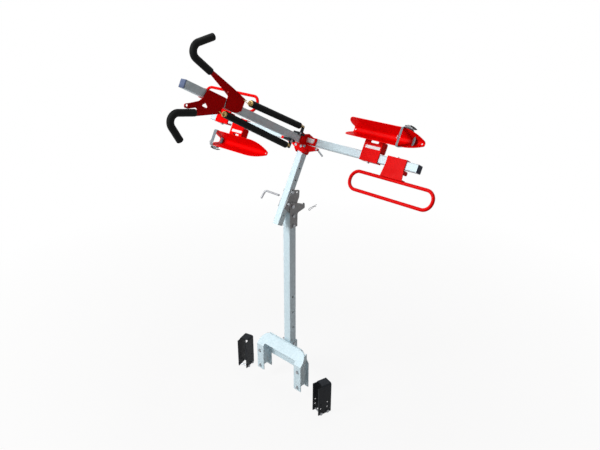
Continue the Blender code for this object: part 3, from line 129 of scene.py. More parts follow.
def maths(tree, operation, first, second=None, third=None, clamp=False):
    # a Math node: each operand is a number or another node's output
    node = tree.nodes.new("ShaderNodeMath")
    node.operation = operation
    node.use_clamp = clamp
    for socket, value in zip(node.inputs, (first, second, third)):
        if value is None:
            continue
        if isinstance(value, (int, float)):
            socket.default_value = value
        else:
            tree.links.new(value, socket)
    return node.outputs[0]


def addWorld():
    world = bpy.data.worlds.new("studioWorld")
    bpy.context.scene.world = world
    world.use_nodes = True
    tree = world.node_tree
    plain = tree.nodes["Background"]
    plain.inputs["Color"].default_value = (*studio["ambient"], 1.0)
    white = tree.nodes.new("ShaderNodeBackground")
    white.inputs["Color"].default_value = (1.0, 1.0, 1.0, 1.0)
    mix = tree.nodes.new("ShaderNodeMixShader")
    tree.links.new(seenShare(tree), mix.inputs[0])
    tree.links.new(plain.outputs[0], mix.inputs[1])
    tree.links.new(white.outputs[0], mix.inputs[2])
    tree.links.new(mix.outputs[0], tree.nodes["World Output"].inputs["Surface"])


studioFloor = {
    "height": -0.1932,
    "size": 60.0,
    "grey": 0.52,
    "roughness": 0.9,
    "shine": 0.1,
    "leastWhite": 0.90,   # the share of plain white that the camera sees beside the object
    "whiteStart": 0.86,
    "whitening": 0.045,   # what that share gains in each metre
}


def addFloor():
    half = studioFloor["size"] / 2
    corners = [(x * half, y * half, studioFloor["height"]) for x, y in ((-1, -1), (1, -1), (1, 1), (-1, 1))]
    mesh = bpy.data.meshes.new("floor")
    mesh.from_pydata(corners, [], [(0, 1, 2, 3)])
    floor = bpy.data.objects.new("floor", mesh)
    bpy.context.scene.collection.objects.link(floor)
    material = bpy.data.materials.new("paleFloor")
    material.use_nodes = True
    tree = material.node_tree
    shader = tree.nodes["Principled BSDF"]
    shader.inputs["Base Color"].default_value = (*[studioFloor["grey"]] * 3, 1.0)
    shader.inputs["Roughness"].default_value = studioFloor["roughness"]
    shader.inputs["Specular IOR Level"].default_value = studioFloor["shine"]
    glow = tree.nodes.new("ShaderNodeEmission")
    glow.inputs["Color"].default_value = (1.0, 1.0, 1.0, 1.0)
    place = tree.nodes.new("ShaderNodeTexCoord")
    distance = tree.nodes.new("ShaderNodeVectorMath")
    distance.operation = "LENGTH"
    tree.links.new(place.outputs["Object"], distance.inputs[0])
    # white grows evenly with the distance from the object, and never falls below the least
    white = maths(tree, "MULTIPLY_ADD", distance.outputs["Value"], studioFloor["whitening"],
                  studioFloor["whiteStart"], clamp=True)
    white = maths(tree, "MAXIMUM", white, studioFloor["leastWhite"])
    share = maths(tree, "MULTIPLY", white, seenShare(tree))
    mix = tree.nodes.new("ShaderNodeMixShader")
    tree.links.new(share, mix.inputs[0])
    tree.links.new(shader.outputs[0], mix.inputs[1])
    tree.links.new(glow.outputs[0], mix.inputs[2])
    tree.links.new(mix.outputs[0], tree.nodes["Material Output"].inputs["Surface"])
    mesh.materials.append(material)


def addLamps():
    for name, settings in studio["lamps"].items():
        data = bpy.data.lights.new(name, "AREA")
        data.size = settings["size"]
        data.energy = settings["power"]
        lamp = bpy.data.objects.new(name, data)
        place = np.array(settings["place"])
        back = unit(place - np.array(settings["aim"]))
        side = unit(np.cross((0.0, 0.0, 1.0), back))
        lamp.matrix_world = standing(side, np.cross(back, side), back, place)
        bpy.context.scene.collection.objects.link(lamp)


addCamera()
addWorld()
addFloor()
addLamps()
bpy.context.scene.view_settings.view_transform = "Standard"
print("camera, floor and light are in place")


# Materials

def tone(red, green, blue):
    # a screen colour, 0 to 255, as the shader wants it
    values = np.array([red, green, blue]) / 255.0
    linear = np.where(values <= 0.04045, values / 12.92, ((values + 0.055) / 1.055) ** 2.4)
    return (*[float(v) for v in linear], 1.0)


def startMaterial(name, sockets):
    # what is the same all over the surface is set on the shader's own sockets
    material = bpy.data.materials.new(name)
    material.use_nodes = True
    tree = material.node_tree
    shader = tree.nodes["Principled BSDF"]
    for socket, value in sockets.items():
        shader.inputs[socket].default_value = value
    return material, tree, shader


def stretched(tree, scale=(1.0, 1.0, 1.0)):
    # object coordinates in metres, scaled along each axis
    coords = tree.nodes.new("ShaderNodeTexCoord")
    mapping = tree.nodes.new("ShaderNodeMapping")
    mapping.inputs["Scale"].default_value = scale
    tree.links.new(coords.outputs["Object"], mapping.inputs["Vector"])
    return mapping.outputs["Vector"]


def noise(tree, vector, scale, detail=3.0, roughness=0.55):
    node = tree.nodes.new("ShaderNodeTexNoise")
    node.inputs["Scale"].default_value = scale
    node.inputs["Detail"].default_value = detail
    node.inputs["Roughness"].default_value = roughness
    tree.links.new(vector, node.inputs["Vector"])
    return node.outputs["Fac"]


def cells(tree, vector, scale, output="Color"):
    node = tree.nodes.new("ShaderNodeTexVoronoi")
    node.inputs["Scale"].default_value = scale
    tree.links.new(vector, node.inputs["Vector"])
    return node.outputs[output]


def remap(tree, value, low, high, newLow=0.0, newHigh=1.0):
    # low to high becomes newLow to newHigh, and stops there
    node = tree.nodes.new("ShaderNodeMapRange")
    node.inputs["From Min"].default_value = low
    node.inputs["From Max"].default_value = high
    node.inputs["To Min"].default_value = newLow
    node.inputs["To Max"].default_value = newHigh
    tree.links.new(value, node.inputs["Value"])
    return node.outputs["Result"]


def mixColours(tree, factor, first, second):
    node = tree.nodes.new("ShaderNodeMix")
    node.data_type = "RGBA"
    tree.links.new(factor, node.inputs["Factor"])
    for socket, value in ((node.inputs[6], first), (node.inputs[7], second)):
        if isinstance(value, tuple):
            socket.default_value = value
        else:
            tree.links.new(value, socket)
    return node.outputs[2]


def toned(tree, value, look, grain):
    # from the look's dark tone to its base tone as the value rises
    return mixColours(tree, remap(tree, value, *grain["shows"]), look["dark"], look["base"])


softEdges = {
    "samples": 4,
    "shows": (0.995, 0.90),
    "spots": 30.0,
    "spotShows": (0.62, 0.80),
}


def softEdge(tree, radius):
    # the normal turned round each edge, and a mask that is 1 on the edges; a round piece wears in spots
    if radius == 0:
        spots = noise(tree, stretched(tree), softEdges["spots"])
        return None, remap(tree, spots, *softEdges["spotShows"])
    rounded = tree.nodes.new("ShaderNodeBevel")
    rounded.samples = softEdges["samples"]
    rounded.inputs["Radius"].default_value = radius
    geometry = tree.nodes.new("ShaderNodeNewGeometry")
    product = tree.nodes.new("ShaderNodeVectorMath")
    product.operation = "DOT_PRODUCT"
    tree.links.new(rounded.outputs["Normal"], product.inputs[0])
    tree.links.new(geometry.outputs["Normal"], product.inputs[1])
    return rounded.outputs["Normal"], remap(tree, product.outputs["Value"], *softEdges["shows"])


def edgeWearAndHighlight(tree, shader, place, colour, look, grain):
    # the edge tone shows where the edge mask times a noise is high, partly as wear and partly as a painted
    # highlight along the edges; gives back the softened normal
    normal, edges = softEdge(tree, look["edgeRadius"])
    edgeSpots = remap(tree, noise(tree, place, grain["edgeSpots"]), *grain["edgeSpotShows"])
    edgeTint = maths(tree, "MULTIPLY", edges, edgeSpots, clamp=True)
    tree.links.new(mixColours(tree, edgeTint, colour, look["edge"]), shader.inputs["Base Color"])
    return normal


def unevenShine(tree, shader, place, roughness, grain):
    # the roughness wanders with a noise, by the steps that the grain gives
    smoothest, roughest = (roughness + step for step in grain["shineSteps"])
    wander = noise(tree, place, *grain["shineNoise"])
    spread = remap(tree, wander, *grain["shineShows"], smoothest, roughest)
    tree.links.new(spread, shader.inputs["Roughness"])


def bump(tree, shader, height, grain, normal=None):
    # the height lifts the surface by up to the grain's relief, in metres
    node = tree.nodes.new("ShaderNodeBump")
    node.inputs["Strength"].default_value = grain["strength"]
    node.inputs["Distance"].default_value = grain["relief"]
    tree.links.new(height, node.inputs["Height"])
    if normal is not None:
        tree.links.new(normal, node.inputs["Normal"])
    tree.links.new(node.outputs["Normal"], shader.inputs["Normal"])


finishes = {
    # each finish's edge tone is partly wear and partly a painted highlight along the edges
    "zincTube": {"base": tone(208, 229, 237), "dark": tone(194, 216, 225), "edge": tone(228, 240, 246),
                 "metal": 0.06, "rough": 0.46, "shine": 0.18, "edgeRadius": 0.0016},
    # the same zinc made darker for the plates, whose seen faces turn away from the light: painted shade
    "shadedZinc": {"base": tone(158, 162, 164), "dark": tone(132, 136, 139), "edge": tone(204, 209, 212),
                  "metal": 0.10, "rough": 0.44, "shine": 0.20, "edgeRadius": 0.0010},
    "boltSteel": {"base": tone(178, 182, 186), "dark": tone(128, 132, 138), "edge": tone(222, 226, 230),
                  "metal": 0.60, "rough": 0.34, "shine": 0.40, "edgeRadius": 0.0004},
    "rodSteel": {"base": tone(186, 190, 194), "dark": tone(152, 156, 162), "edge": tone(182, 186, 190),
                 "metal": 0.40, "rough": 0.36, "shine": 0.40, "edgeRadius": 0.0},
    "redTube": {"base": tone(232, 2, 3), "dark": tone(220, 1, 2), "edge": tone(240, 16, 13),
                "metal": 0.0, "rough": 0.42, "shine": 0.05, "edgeRadius": 0.0},
    "redPaint": {"base": tone(232, 2, 3), "dark": tone(218, 1, 2), "edge": tone(240, 16, 13),
                 "metal": 0.0, "rough": 0.42, "shine": 0.03, "edgeRadius": 0.0012},
    # the same red made darker for the hook carriages, whose side plates are in shade: painted shade
    "shadedHookPaint": {"base": tone(196, 2, 3), "dark": tone(180, 1, 2), "edge": tone(214, 14, 12),
                  "metal": 0.0, "rough": 0.42, "shine": 0.03, "edgeRadius": 0.0012},
    "blackSteel": {"base": tone(27, 32, 38), "dark": tone(17, 20, 24), "edge": tone(62, 67, 74),
                   "metal": 0.0, "rough": 0.48, "shine": 0.12, "edgeRadius": 0.0010},
    "foam": {"base": tone(14, 16, 16), "dark": tone(7, 8, 8)},
    "sleeve": {"base": tone(12, 13, 15), "dark": tone(6, 6, 8)},
    "goldWire": {"base": tone(226, 200, 136), "dark": tone(160, 126, 66), "metal": 0.85, "rough": 0.26},
    "webbing": {"base": tone(128, 138, 146), "dark": tone(88, 98, 106)},
    "label": {"base": tone(236, 238, 240), "dark": tone(222, 224, 228)},
    # the bar caps are darker than the mast cap for the shade on the bars' end faces: painted shade
    "shadedBarCap": {"base": tone(34, 42, 66), "dark": tone(22, 28, 46)},
    "mastCap": {"base": tone(100, 113, 142), "dark": tone(76, 88, 116)},
}


# In each grain, a noise is given by its scale and detail, and "shows" is the range of its value that counts

zincGrain = {
    "crystals": 95.0,
    "crystalShare": 0.45,
    "clouds": (14.0, 4.0),
    "shows": (0.25, 0.75),
    "edgeSpots": 60.0,
    "edgeSpotShows": (0.35, 0.65),
    "spread": 0.22,
    "marks": (14.0, 300.0, 300.0),
    "markShare": 0.5,
    "relief": 0.00008,
    "strength": 0.35,
}


def zinc(name):
    # patches of zinc crystals, faint drawing marks along the metal, and bright edges that are partly wear
    # and partly a painted highlight
    look, grain = finishes[name], zincGrain
    material, tree, shader = startMaterial(name, {
        "Metallic": look["metal"], "Roughness": look["rough"], "Specular IOR Level": look["shine"]})
    place = stretched(tree)
    crystals = tree.nodes.new("ShaderNodeRGBToBW")
    tree.links.new(cells(tree, place, grain["crystals"]), crystals.inputs[0])
    grey, share = crystals.outputs[0], grain["crystalShare"]
    clouds = maths(tree, "MULTIPLY", noise(tree, place, *grain["clouds"]), 1 - share)
    patches = maths(tree, "MULTIPLY_ADD", grey, share, clouds)
    normal = edgeWearAndHighlight(tree, shader, place, toned(tree, patches, look, grain), look, grain)
    smoothest = look["rough"] - grain["spread"] / 2
    spread = maths(tree, "MULTIPLY_ADD", patches, grain["spread"], smoothest)
    tree.links.new(spread, shader.inputs["Roughness"])
    marks = noise(tree, stretched(tree, grain["marks"]), 1.0, 3.0)
    bump(tree, shader, maths(tree, "MULTIPLY_ADD", marks, grain["markShare"], grey), grain, normal)
    return material


paintGrain = {
    "clouds": (9.0, 4.0),
    "shows": (0.35, 0.70),
    "edgeSpots": 75.0,
    "edgeSpotShows": (0.40, 0.62),
    "shineNoise": (38.0, 5.0, 0.65),
    "shineShows": (0.35, 0.75),
    "shineSteps": (-0.07, 0.13),
    "coat": 0.01,
    "coatRoughness": 0.3,
    "relief": 0.00010,
    "strength": 0.18,
}


def paint(name, fineness):
    # sprayed paint: a fine skin like orange peel, a little dust, and lighter edges that are partly wear and
    # partly a painted highlight
    look, grain = finishes[name], paintGrain
    material, tree, shader = startMaterial(name, {
        "Metallic": look["metal"], "Roughness": look["rough"], "Specular IOR Level": look["shine"],
        "Coat Weight": grain["coat"], "Coat Roughness": grain["coatRoughness"]})
    place = stretched(tree)
    colour = toned(tree, noise(tree, place, *grain["clouds"]), look, grain)
    normal = edgeWearAndHighlight(tree, shader, place, colour, look, grain)
    unevenShine(tree, shader, place, look["rough"], grain)
    bump(tree, shader, noise(tree, place, fineness, 2.0), grain, normal)
    return material


foamGrain = {
    "sockets": {"Roughness": 0.66, "Specular IOR Level": 0.10, "Sheen Weight": 0.02,
                "Sheen Roughness": 0.5},
    "pores": 820.0,
    "clouds": (45.0, 4.0),
    "cloudShare": 0.8,
    "shows": (0.3, 0.7),
    "relief": 0.0005,
    "strength": 0.45,
}


def foam():
    # closed-cell foam: small soft pores and a dull sheen
    grain = foamGrain
    material, tree, shader = startMaterial("foam", grain["sockets"])
    place = stretched(tree)
    clouds = noise(tree, place, *grain["clouds"])
    tree.links.new(toned(tree, clouds, finishes["foam"], grain), shader.inputs["Base Color"])
    pores = cells(tree, place, grain["pores"], "Distance")
    bump(tree, shader, maths(tree, "MULTIPLY_ADD", clouds, grain["cloudShare"], pores), grain)
    return material


mouldedGrain = {
    "shine": 0.07,
    "clouds": (24.0, 4.0),
    "shows": (0.35, 0.68),
    "shineNoise": (60.0, 4.0),
    "shineShows": (0.3, 0.7),
    "shineSteps": (-0.08, 0.10),
    "edgeRadius": 0.0008,
    "relief": 0.00010,
    "strength": 0.35,
}


def moulded(name, roughness, fineness):
    # moulded plastic or rubber with a fine spark-eroded grain
    grain = mouldedGrain
    sockets = {"Roughness": roughness, "Specular IOR Level": grain["shine"]}
    material, tree, shader = startMaterial(name, sockets)
    place = stretched(tree)
    colour = toned(tree, noise(tree, place, *grain["clouds"]), finishes[name], grain)
    tree.links.new(colour, shader.inputs["Base Color"])
    unevenShine(tree, shader, place, roughness, grain)
    normal = softEdge(tree, grain["edgeRadius"])[0]
    bump(tree, shader, noise(tree, place, fineness, 2.0), grain, normal)
    return material


wireGrain = {
    "patches": (70.0, 4.0),
    "shows": (0.35, 0.65),
    "shineNoise": (240.0, 3.0),
    "shineShows": (0.3, 0.7),
    "shineSteps": (-0.06, 0.14),
    "skin": (900.0, 2.0),
    "relief": 0.00005,
    "strength": 0.3,
}


def goldWire():
    # passivated spring wire: gold with darker patches and a fine rough skin
    look, grain = finishes["goldWire"], wireGrain
    sockets = {"Metallic": look["metal"], "Roughness": look["rough"]}
    material, tree, shader = startMaterial("goldWire", sockets)
    place = stretched(tree)
    colour = toned(tree, noise(tree, place, *grain["patches"]), look, grain)
    tree.links.new(colour, shader.inputs["Base Color"])
    unevenShine(tree, shader, place, look["rough"], grain)
    bump(tree, shader, noise(tree, place, *grain["skin"]), grain)
    return material


weave = {
    "sockets": {"Roughness": 0.72, "Sheen Weight": 0.08, "Sheen Roughness": 0.4},
    "warp": 0.0016,    # metres from yarn to yarn across the strap
    "weft": 0.0021,    # and along it
    "fold": 0.0032,    # half the width of a herringbone
    "fuzz": (500.0, 3.0),
    "fuzzShare": 0.35,
    "shows": (0.15, 1.05),
    "relief": 0.00045,
    "strength": 0.6,
}


def webbing():
    # a herringbone: the sine across the strap times the sine along it, shifted to and fro as it crosses
    material, tree, shader = startMaterial("webbing", weave["sockets"])
    coords = tree.nodes.new("ShaderNodeTexCoord")
    parts = tree.nodes.new("ShaderNodeSeparateXYZ")
    tree.links.new(coords.outputs["UV"], parts.inputs[0])
    along, across = parts.outputs["X"], parts.outputs["Y"]
    warp = maths(tree, "SINE", maths(tree, "MULTIPLY", across, 2 * math.pi / weave["warp"]))
    shifted = maths(tree, "ADD", maths(tree, "PINGPONG", across, weave["fold"]), along)
    weft = maths(tree, "SINE", maths(tree, "MULTIPLY", shifted, 2 * math.pi / weave["weft"]))
    yarns = maths(tree, "MULTIPLY_ADD", maths(tree, "MULTIPLY", warp, weft), 0.5, 0.5)
    fuzz = noise(tree, stretched(tree), *weave["fuzz"])
    height = maths(tree, "MULTIPLY_ADD", fuzz, weave["fuzzShare"], yarns)
    # the colour darkens with the weave's height, a painted shade in the hollows between the yarns, and the
    # fuzz changes it at random
    tree.links.new(toned(tree, height, finishes["webbing"], weave), shader.inputs["Base Color"])
    bump(tree, shader, height, weave)
    return material


materials = {
    "zincTube": zinc("zincTube"),
    "shadedZinc": zinc("shadedZinc"),
    "boltSteel": zinc("boltSteel"),
    "rodSteel": zinc("rodSteel"),
    "redTube": paint("redTube", 420.0),
    "redPaint": paint("redPaint", 420.0),
    "shadedHookPaint": paint("shadedHookPaint", 420.0),
    "blackSteel": paint("blackSteel", 520.0),
    "foam": foam(),
    "sleeve": moulded("sleeve", 0.58, 380.0),
    "goldWire": goldWire(),
    "webbing": webbing(),
    "label": moulded("label", 0.40, 300.0),
    "shadedBarCap": moulded("shadedBarCap", 0.38, 480.0),
    "mastCap": moulded("mastCap", 0.38, 480.0),
}
print("materials:", len(materials))


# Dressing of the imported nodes, by the finish that their slot names

slotFinish = {
    "zinc": "zincTube",
    "red_paint": "redPaint",
    "bare_steel": "boltSteel",
    "black_steel": "blackSteel",
    "foam": "foam",
    "rubber": "sleeve",
    "brass": "goldWire",
    # the bar caps take the darker cap colour as painted shade
    "cap_plastic": "shadedBarCap",
    "webbing": "webbing",
}
plateNodes = ["hinge_ear_right", "hinge_ear_left", "arm_plate_right", "arm_plate_left"]


def dressNodes():
    # the slot gives the finish, and a few nodes take another one
    chosen = {}
    for row in frame["record"]["subparts"]:
        chosen[row["node"]] = slotFinish[row["material_slot"]]
    for name in nodes:
        if "_bolt" in name or name in ("lock_pin", "r_clip"):
            chosen[name] = "boltSteel"
    # the hinge ears and arm plates take the darker zinc as painted shade
    for name in plateNodes:
        chosen[name] = "shadedZinc"
    # the hook carriages take the darker red as painted shade
    for name in ("hook_carriage_upper", "hook_carriage_lower"):
        chosen[name] = "shadedHookPaint"
    chosen["mast_cap"] = "mastCap"
    for name, thing in nodes.items():
        thing.data.materials.clear()
        thing.data.materials.append(materials[chosen[name]])


dressNodes()
print("nodes dressed")


# Surfaces

sharpFrom = math.radians(38)


def smoothed(mesh):
    # smooth shading, with an edge kept where two faces meet at more than the angle
    mesh.shade_smooth()
    mesh.set_sharp_from_angle(angle=sharpFrom)


def surface(name, grid, material, wrapRows=False, along=None, across=None):
    # a grid of rings: each ring closes round, open ends are closed by a fan to the ring's middle
    rows, cols = grid.shape[:2]
    i, j = np.meshgrid(np.arange(rows if wrapRows else rows - 1), np.arange(cols), indexing="ij")
    i, j = i.ravel(), j.ravel()
    below, beside = (i + 1) % rows, (j + 1) % cols
    quads = np.stack([i * cols + j, i * cols + beside, below * cols + beside, below * cols + j], -1)
    points = grid.reshape(-1, 3)
    faces = np.zeros((0, 3), int)
    if not wrapRows:
        base = len(points)
        points = np.vstack([points, grid[0].mean(0), grid[-1].mean(0)])
        ring = np.arange(cols)
        turned = (ring + 1) % cols
        last = (rows - 1) * cols
        first = np.stack([np.full(cols, base), turned, ring], -1)
        final = np.stack([np.full(cols, base + 1), last + ring, last + turned], -1)
        faces = np.vstack([first, final])
    # the signed volume is below zero where the faces look inwards, and they are turned then
    halves = np.vstack([quads[:, [0, 1, 2]], quads[:, [0, 2, 3]], faces])
    a, b, c = points[halves[:, 0]], points[halves[:, 1]], points[halves[:, 2]]
    inside = np.einsum("ij,ij->i", a, np.cross(b, c)).sum() < 0
    if inside:
        quads, faces = quads[:, ::-1], faces[:, ::-1]
    mesh = bpy.data.meshes.new(name)
    mesh.from_pydata(points.tolist(), [], quads.tolist() + faces.tolist())
    if along is not None:
        u = np.stack([along[i], along[i], along[i + 1], along[i + 1]], -1)
        v = np.stack([across[j], across[j + 1], across[j + 1], across[j]], -1)
        pairs = np.stack([u, v], -1)
        if inside:
            pairs = pairs[:, ::-1]
        layer = mesh.uv_layers.new(name="weave")
        layer.data.foreach_set("uv", pairs.astype(np.float32).ravel())
    smoothed(mesh)
    mesh.materials.append(materials[material])
    piece = bpy.data.objects.new(name, mesh)
    bpy.context.scene.collection.objects.link(piece)
    return piece


def sweep(path, section, binormal, closed=False, scale=None):
    # each ring is the section stood across the path, with its second axis along the binormal
    if closed:
        ahead = unit(np.roll(path, -1, 0) - np.roll(path, 1, 0))
    else:
        ahead = unit(np.gradient(path, axis=0))
    binormal = np.broadcast_to(binormal, path.shape)
    side = unit(np.cross(binormal, ahead))
    rings = np.broadcast_to(section, (len(path), *section.shape))
    if scale is not None:
        rings = rings * scale[..., None]
    return path[:, None] + rings[..., :1] * side[:, None] + rings[..., 1:] * binormal[:, None]


def fullTurn(count):
    # angles in equal steps once round, without the last one that falls on the first
    return np.linspace(0, 2 * math.pi, count, endpoint=False)


def circle(radius, count):
    # the radius times the cosine and the sine of each angle round
    turn = fullTurn(count)
    return radius * np.stack([np.cos(turn), np.sin(turn)], -1)


def respaced(path, positions):
    # the path's points at these distances along it
    steps = np.linalg.norm(np.diff(path, axis=0), axis=1)
    travelled = np.concatenate([[0.0], np.cumsum(steps)])
    return np.stack([np.interp(positions, travelled, path[:, k]) for k in range(path.shape[1])], -1)


def pathLength(path):
    # the sum of the distances from point to point
    return float(np.linalg.norm(np.diff(path, axis=0), axis=1).sum())


def arcBetween(start, corner, end, weight, samples):
    # the three points in the shares (1 - s) squared, 2 s (1 - s) times the weight, and s squared,
    # divided by the shares' sum: with the sine of half the corner's angle as weight, this is a circle's arc
    s = np.linspace(0, 1, samples)[:, None]
    shares = ((1 - s) ** 2, 2 * s * (1 - s) * weight, s ** 2)
    return (shares[0] * start + shares[1] * corner + shares[2] * end) / sum(shares)


def roundedCorners(corners, radii, samples=8):
    # each corner of a closed outline becomes an arc that touches both of its sides, and takes at most
    # 0.48 of the shorter one
    corners = np.asarray(corners, float)
    before, after = np.roll(corners, 1, 0) - corners, np.roll(corners, -1, 0) - corners
    shortest = np.minimum(np.linalg.norm(before, axis=1), np.linalg.norm(after, axis=1))
    before, after = unit(before), unit(after)
    half = np.arccos(np.clip((before * after).sum(1), -1, 1)) / 2
    reach = np.minimum(np.asarray(radii) / np.tan(half), 0.48 * shortest)[:, None]
    start, end = corners + before * reach, corners + after * reach
    weight = np.sin(half)[:, None, None]
    arcs = arcBetween(start[:, None], corners[:, None], end[:, None], weight, samples)
    return arcs.reshape(-1, corners.shape[1])


def bentPath(start, corner, tip, radius, samples=60):
    # two straight runs joined by an arc that touches both
    start, corner, tip = (np.array(p, float) for p in (start, corner, tip))
    back, on = unit(start - corner), unit(tip - corner)
    half = math.acos(float(back @ on)) / 2
    reach = radius / math.tan(half)
    arc = arcBetween(corner + back * reach, corner, corner + on * reach, math.sin(half), samples)
    return np.vstack([start, arc, tip])


def fit(piece, body, slotName, *hidden):
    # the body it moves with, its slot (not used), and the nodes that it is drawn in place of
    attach(piece, body)
    if hidden:
        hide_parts(*hidden)
    return piece


# Foam grips on the hooks

grips = {
    "radius": 0.0165,
    "bend": 0.037,
    "rim": 0.0035,
    "rimRows": 7,
    "around": 40,
    "rows": 150,
    "crease": {"depth": 0.045, "apart": 0.0075, "reach": 0.022},
    "uneven": {"depth": 0.008, "along": (210, 77), "around": (2, 1)},
    "hooks": {
        "upper": ((0.770, 0.0925), (0.939, 0.130), (0.816, 0.231)),
        "lower": ((0.781, -0.094), (0.9385, -0.1477), (0.808, -0.230)),
    },
}


def gripSkin(along, turn, path, flat, start, corner, tip):
    # two shares of the radius that are lost: the creases, a bell about the bend times the square of how
    # far the skin faces into it times a raised cosine along it; and the unevenness, one plus a product of
    # two sines that each run along and round
    crease, uneven = grips["crease"], grips["uneven"]
    bendAt = pathLength(path[:len(path) // 2])
    nearBend = np.exp(-((along - bendAt) / crease["reach"]) ** 2)
    towards = np.array(start) + np.array(tip) - 2 * np.array(corner)
    ahead = unit(np.gradient(flat, axis=0))
    inner = np.sign(np.cross(ahead[len(ahead) // 2], towards))
    facing = np.clip(-inner * np.cos(turn), 0, 1)
    folds = 0.5 + 0.5 * np.cos(2 * math.pi * along / crease["apart"])
    creases = crease["depth"] * nearBend * facing ** 2 * folds
    (first, second), (firstTurn, secondTurn) = uneven["along"], uneven["around"]
    waves = np.sin(along * first + firstTurn * turn) * np.sin(along * second - secondTurn * turn)
    return creases, uneven["depth"] * (1 + waves)


def foamGrip(level):
    # a circle along the bent rod, whose radius follows a quarter round at each rim and loses its skin's
    # two shares
    start, corner, tip = grips["hooks"][level]
    path = bentPath(start, corner, tip, grips["bend"])
    total = pathLength(path)
    rim, radius = grips["rim"], grips["radius"]
    quarter = np.linspace(0, math.pi / 2, grips["rimRows"])
    entry, rounded = rim * (1 - np.cos(quarter)), radius - rim * (1 - np.sin(quarter))
    middle = np.linspace(rim, total - rim, grips["rows"])[1:-1]
    positions = np.concatenate([entry, middle, total - entry[::-1]])
    size = np.concatenate([rounded, np.full(len(middle), radius), rounded[::-1]]) / radius
    flat = respaced(path, positions)
    onPlane = np.full(len(flat), rack["hookPlane"])
    points = onRack(np.stack([onPlane, flat[:, 0], flat[:, 1] + rack["mastAxis"]], -1))
    turn = fullTurn(grips["around"])[None, :]
    creases, uneven = gripSkin(positions[:, None], turn, path, flat, start, corner, tip)
    scale = size[:, None] * (1 - creases - uneven)
    grid = sweep(points, circle(radius, grips["around"]), alongBar, scale=scale)
    piece = surface(f"foam_grip_{level}", grid, "foam")
    fit(piece, f"hook_{level}", "foam", f"hook_grip_{level}")


for level in ("upper", "lower"):
    foamGrip(level)
print("foam grips made")


# Springs with close turns, in their sleeves

springs = {
    "offset": 0.024,
    "coil": 0.0114,
    "wire": 0.0018,
    "around": 8,
    "pitch": 0.0041,
    "perTurn": 18,
    "show": 0.008,        # how far the turns stand out of each end of the sleeve
    "eyeHalf": 0.0053,
    "eyeBend": 0.0024,
    "eyeLead": 0.006,
    "eyeBack": 0.6,       # how far the free end comes back, as a share of the hook's length
    "eyeLifts": (0.85, 0.10, -0.55),   # how far off the axis it runs, in shares of the coil's radius
    "anchorEye": 0.060,
    "sleeve": {"radius": 0.0165, "bore": 0.0152, "around": 44, "rows": 60, "rimRows": 7,
               "sag": 0.00012, "waves": 160},
    "levels": {
        "upper": {"anchor": 0.086, "sleeve": (0.117, 0.490), "eye": (0.541, 0.047),
                  "bodies": ["arm", "hook_upper"]},
        "lower": {"anchor": 0.143, "sleeve": (0.170, 0.620), "eye": (0.661, -0.047),
                  "bodies": ["arm", "hook_upper", "hook_lower"]},
    },
}


def inSpring(points, eye, tip):
    # a spring is drawn straight along the mast, then tipped about the hook's eye to meet its anchor
    run, rise = eye[0] - points[..., 1], points[..., 2]
    out = eye[0] - run * math.cos(tip) + rise * math.sin(tip)
    up = eye[1] + rack["mastAxis"] + run * math.sin(tip) + rise * math.cos(tip)
    return onRack(np.stack([points[..., 0], out, up], -1))


def cutCorners(points, times):
    # each pass puts two points on every stretch, a quarter in from its ends
    for _ in range(times):
        first, second = points[:-1], points[1:]
        pairs = np.stack([0.75 * first + 0.25 * second, 0.25 * first + 0.75 * second], 1)
        points = np.vstack([points[:1], pairs.reshape(-1, 3), points[-1:]])
    return points


def springEnd(eye, coilEnd, way):
    # an end hook: from the coil's rim along one side to the eye, across it, and back on the other side,
    # as a run of straight stretches whose corners are cut three times
    half, lift, x = springs["eyeHalf"], -way * springs["coil"], springs["offset"]
    leaving, nearEye, freeEnd = springs["eyeLifts"]
    back = eye - way * springs["eyeBack"] * abs(eye - coilEnd)
    corners = [
        (x, coilEnd, lift),
        (x + half, coilEnd + way * springs["eyeLead"], lift * leaving),
        (x + half, eye - way * 2 * springs["eyeBend"], lift * nearEye),
        (x + half, eye, 0.0),
        (x - half, eye, 0.0),
        (x - half, back, lift * freeEnd),
    ]
    return cutCorners(np.array(corners), 3)[1:]


def carriedNormals(path):
    # a normal carried along the path with no twist of its own; no path here starts along the first one
    ahead = unit(np.gradient(path, axis=0))
    normal = np.cross(ahead[0], (0.31, 0.87, 0.39))
    carried = []
    for direction in ahead:
        normal = normal - direction * normal.dot(direction)
        normal = normal / np.linalg.norm(normal)
        carried.append(normal)
    return np.array(carried)


def spring(level):
    # a helix of close turns between two end hooks: the coil's radius times the cosine and the sine of the
    # angle round the axis, while the distance along it grows evenly
    settings = springs["levels"][level]
    eye, sleeve = settings["eye"], settings["sleeve"]
    away = math.copysign(springs["anchorEye"], eye[1]) - eye[1]
    tip = math.atan2(away, eye[0] - settings["anchor"])
    anchor = eye[0] - math.hypot(away, eye[0] - settings["anchor"])
    low, high = sleeve[0] - springs["show"], sleeve[1] + springs["show"]
    turns = round((high - low) / springs["pitch"]) + 0.5
    steps = int(turns * springs["perTurn"])
    share = np.linspace(0, 1, steps + 1)
    angle = math.pi / 2 + 2 * math.pi * turns * share
    x, radius = springs["offset"], springs["coil"]
    coil = np.stack([x + radius * np.cos(angle), low + (high - low) * share, radius * np.sin(angle)], -1)
    wire = np.vstack([springEnd(anchor, low, -1)[::-1], coil, springEnd(eye[0], high, 1)])
    points = inSpring(wire, eye, tip)
    grid = sweep(points, circle(springs["wire"], springs["around"]), carriedNormals(points))
    # it is cut into one length fewer than its bodies: the lower one in two lengths, as the upper hook
    # carries the lower
    bodies = settings["bodies"]
    cuts = np.linspace(0, len(wire) - 1, len(bodies)).astype(int)
    for k, (first, last) in enumerate(zip(cuts[:-1], cuts[1:])):
        piece = surface(f"spring_{level}_{k + 1}", grid[first:last + 1], "goldWire")
        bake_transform(piece)
        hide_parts(f"hook_spring_{level}")
    sleeveTube(level, sleeve, eye, tip)


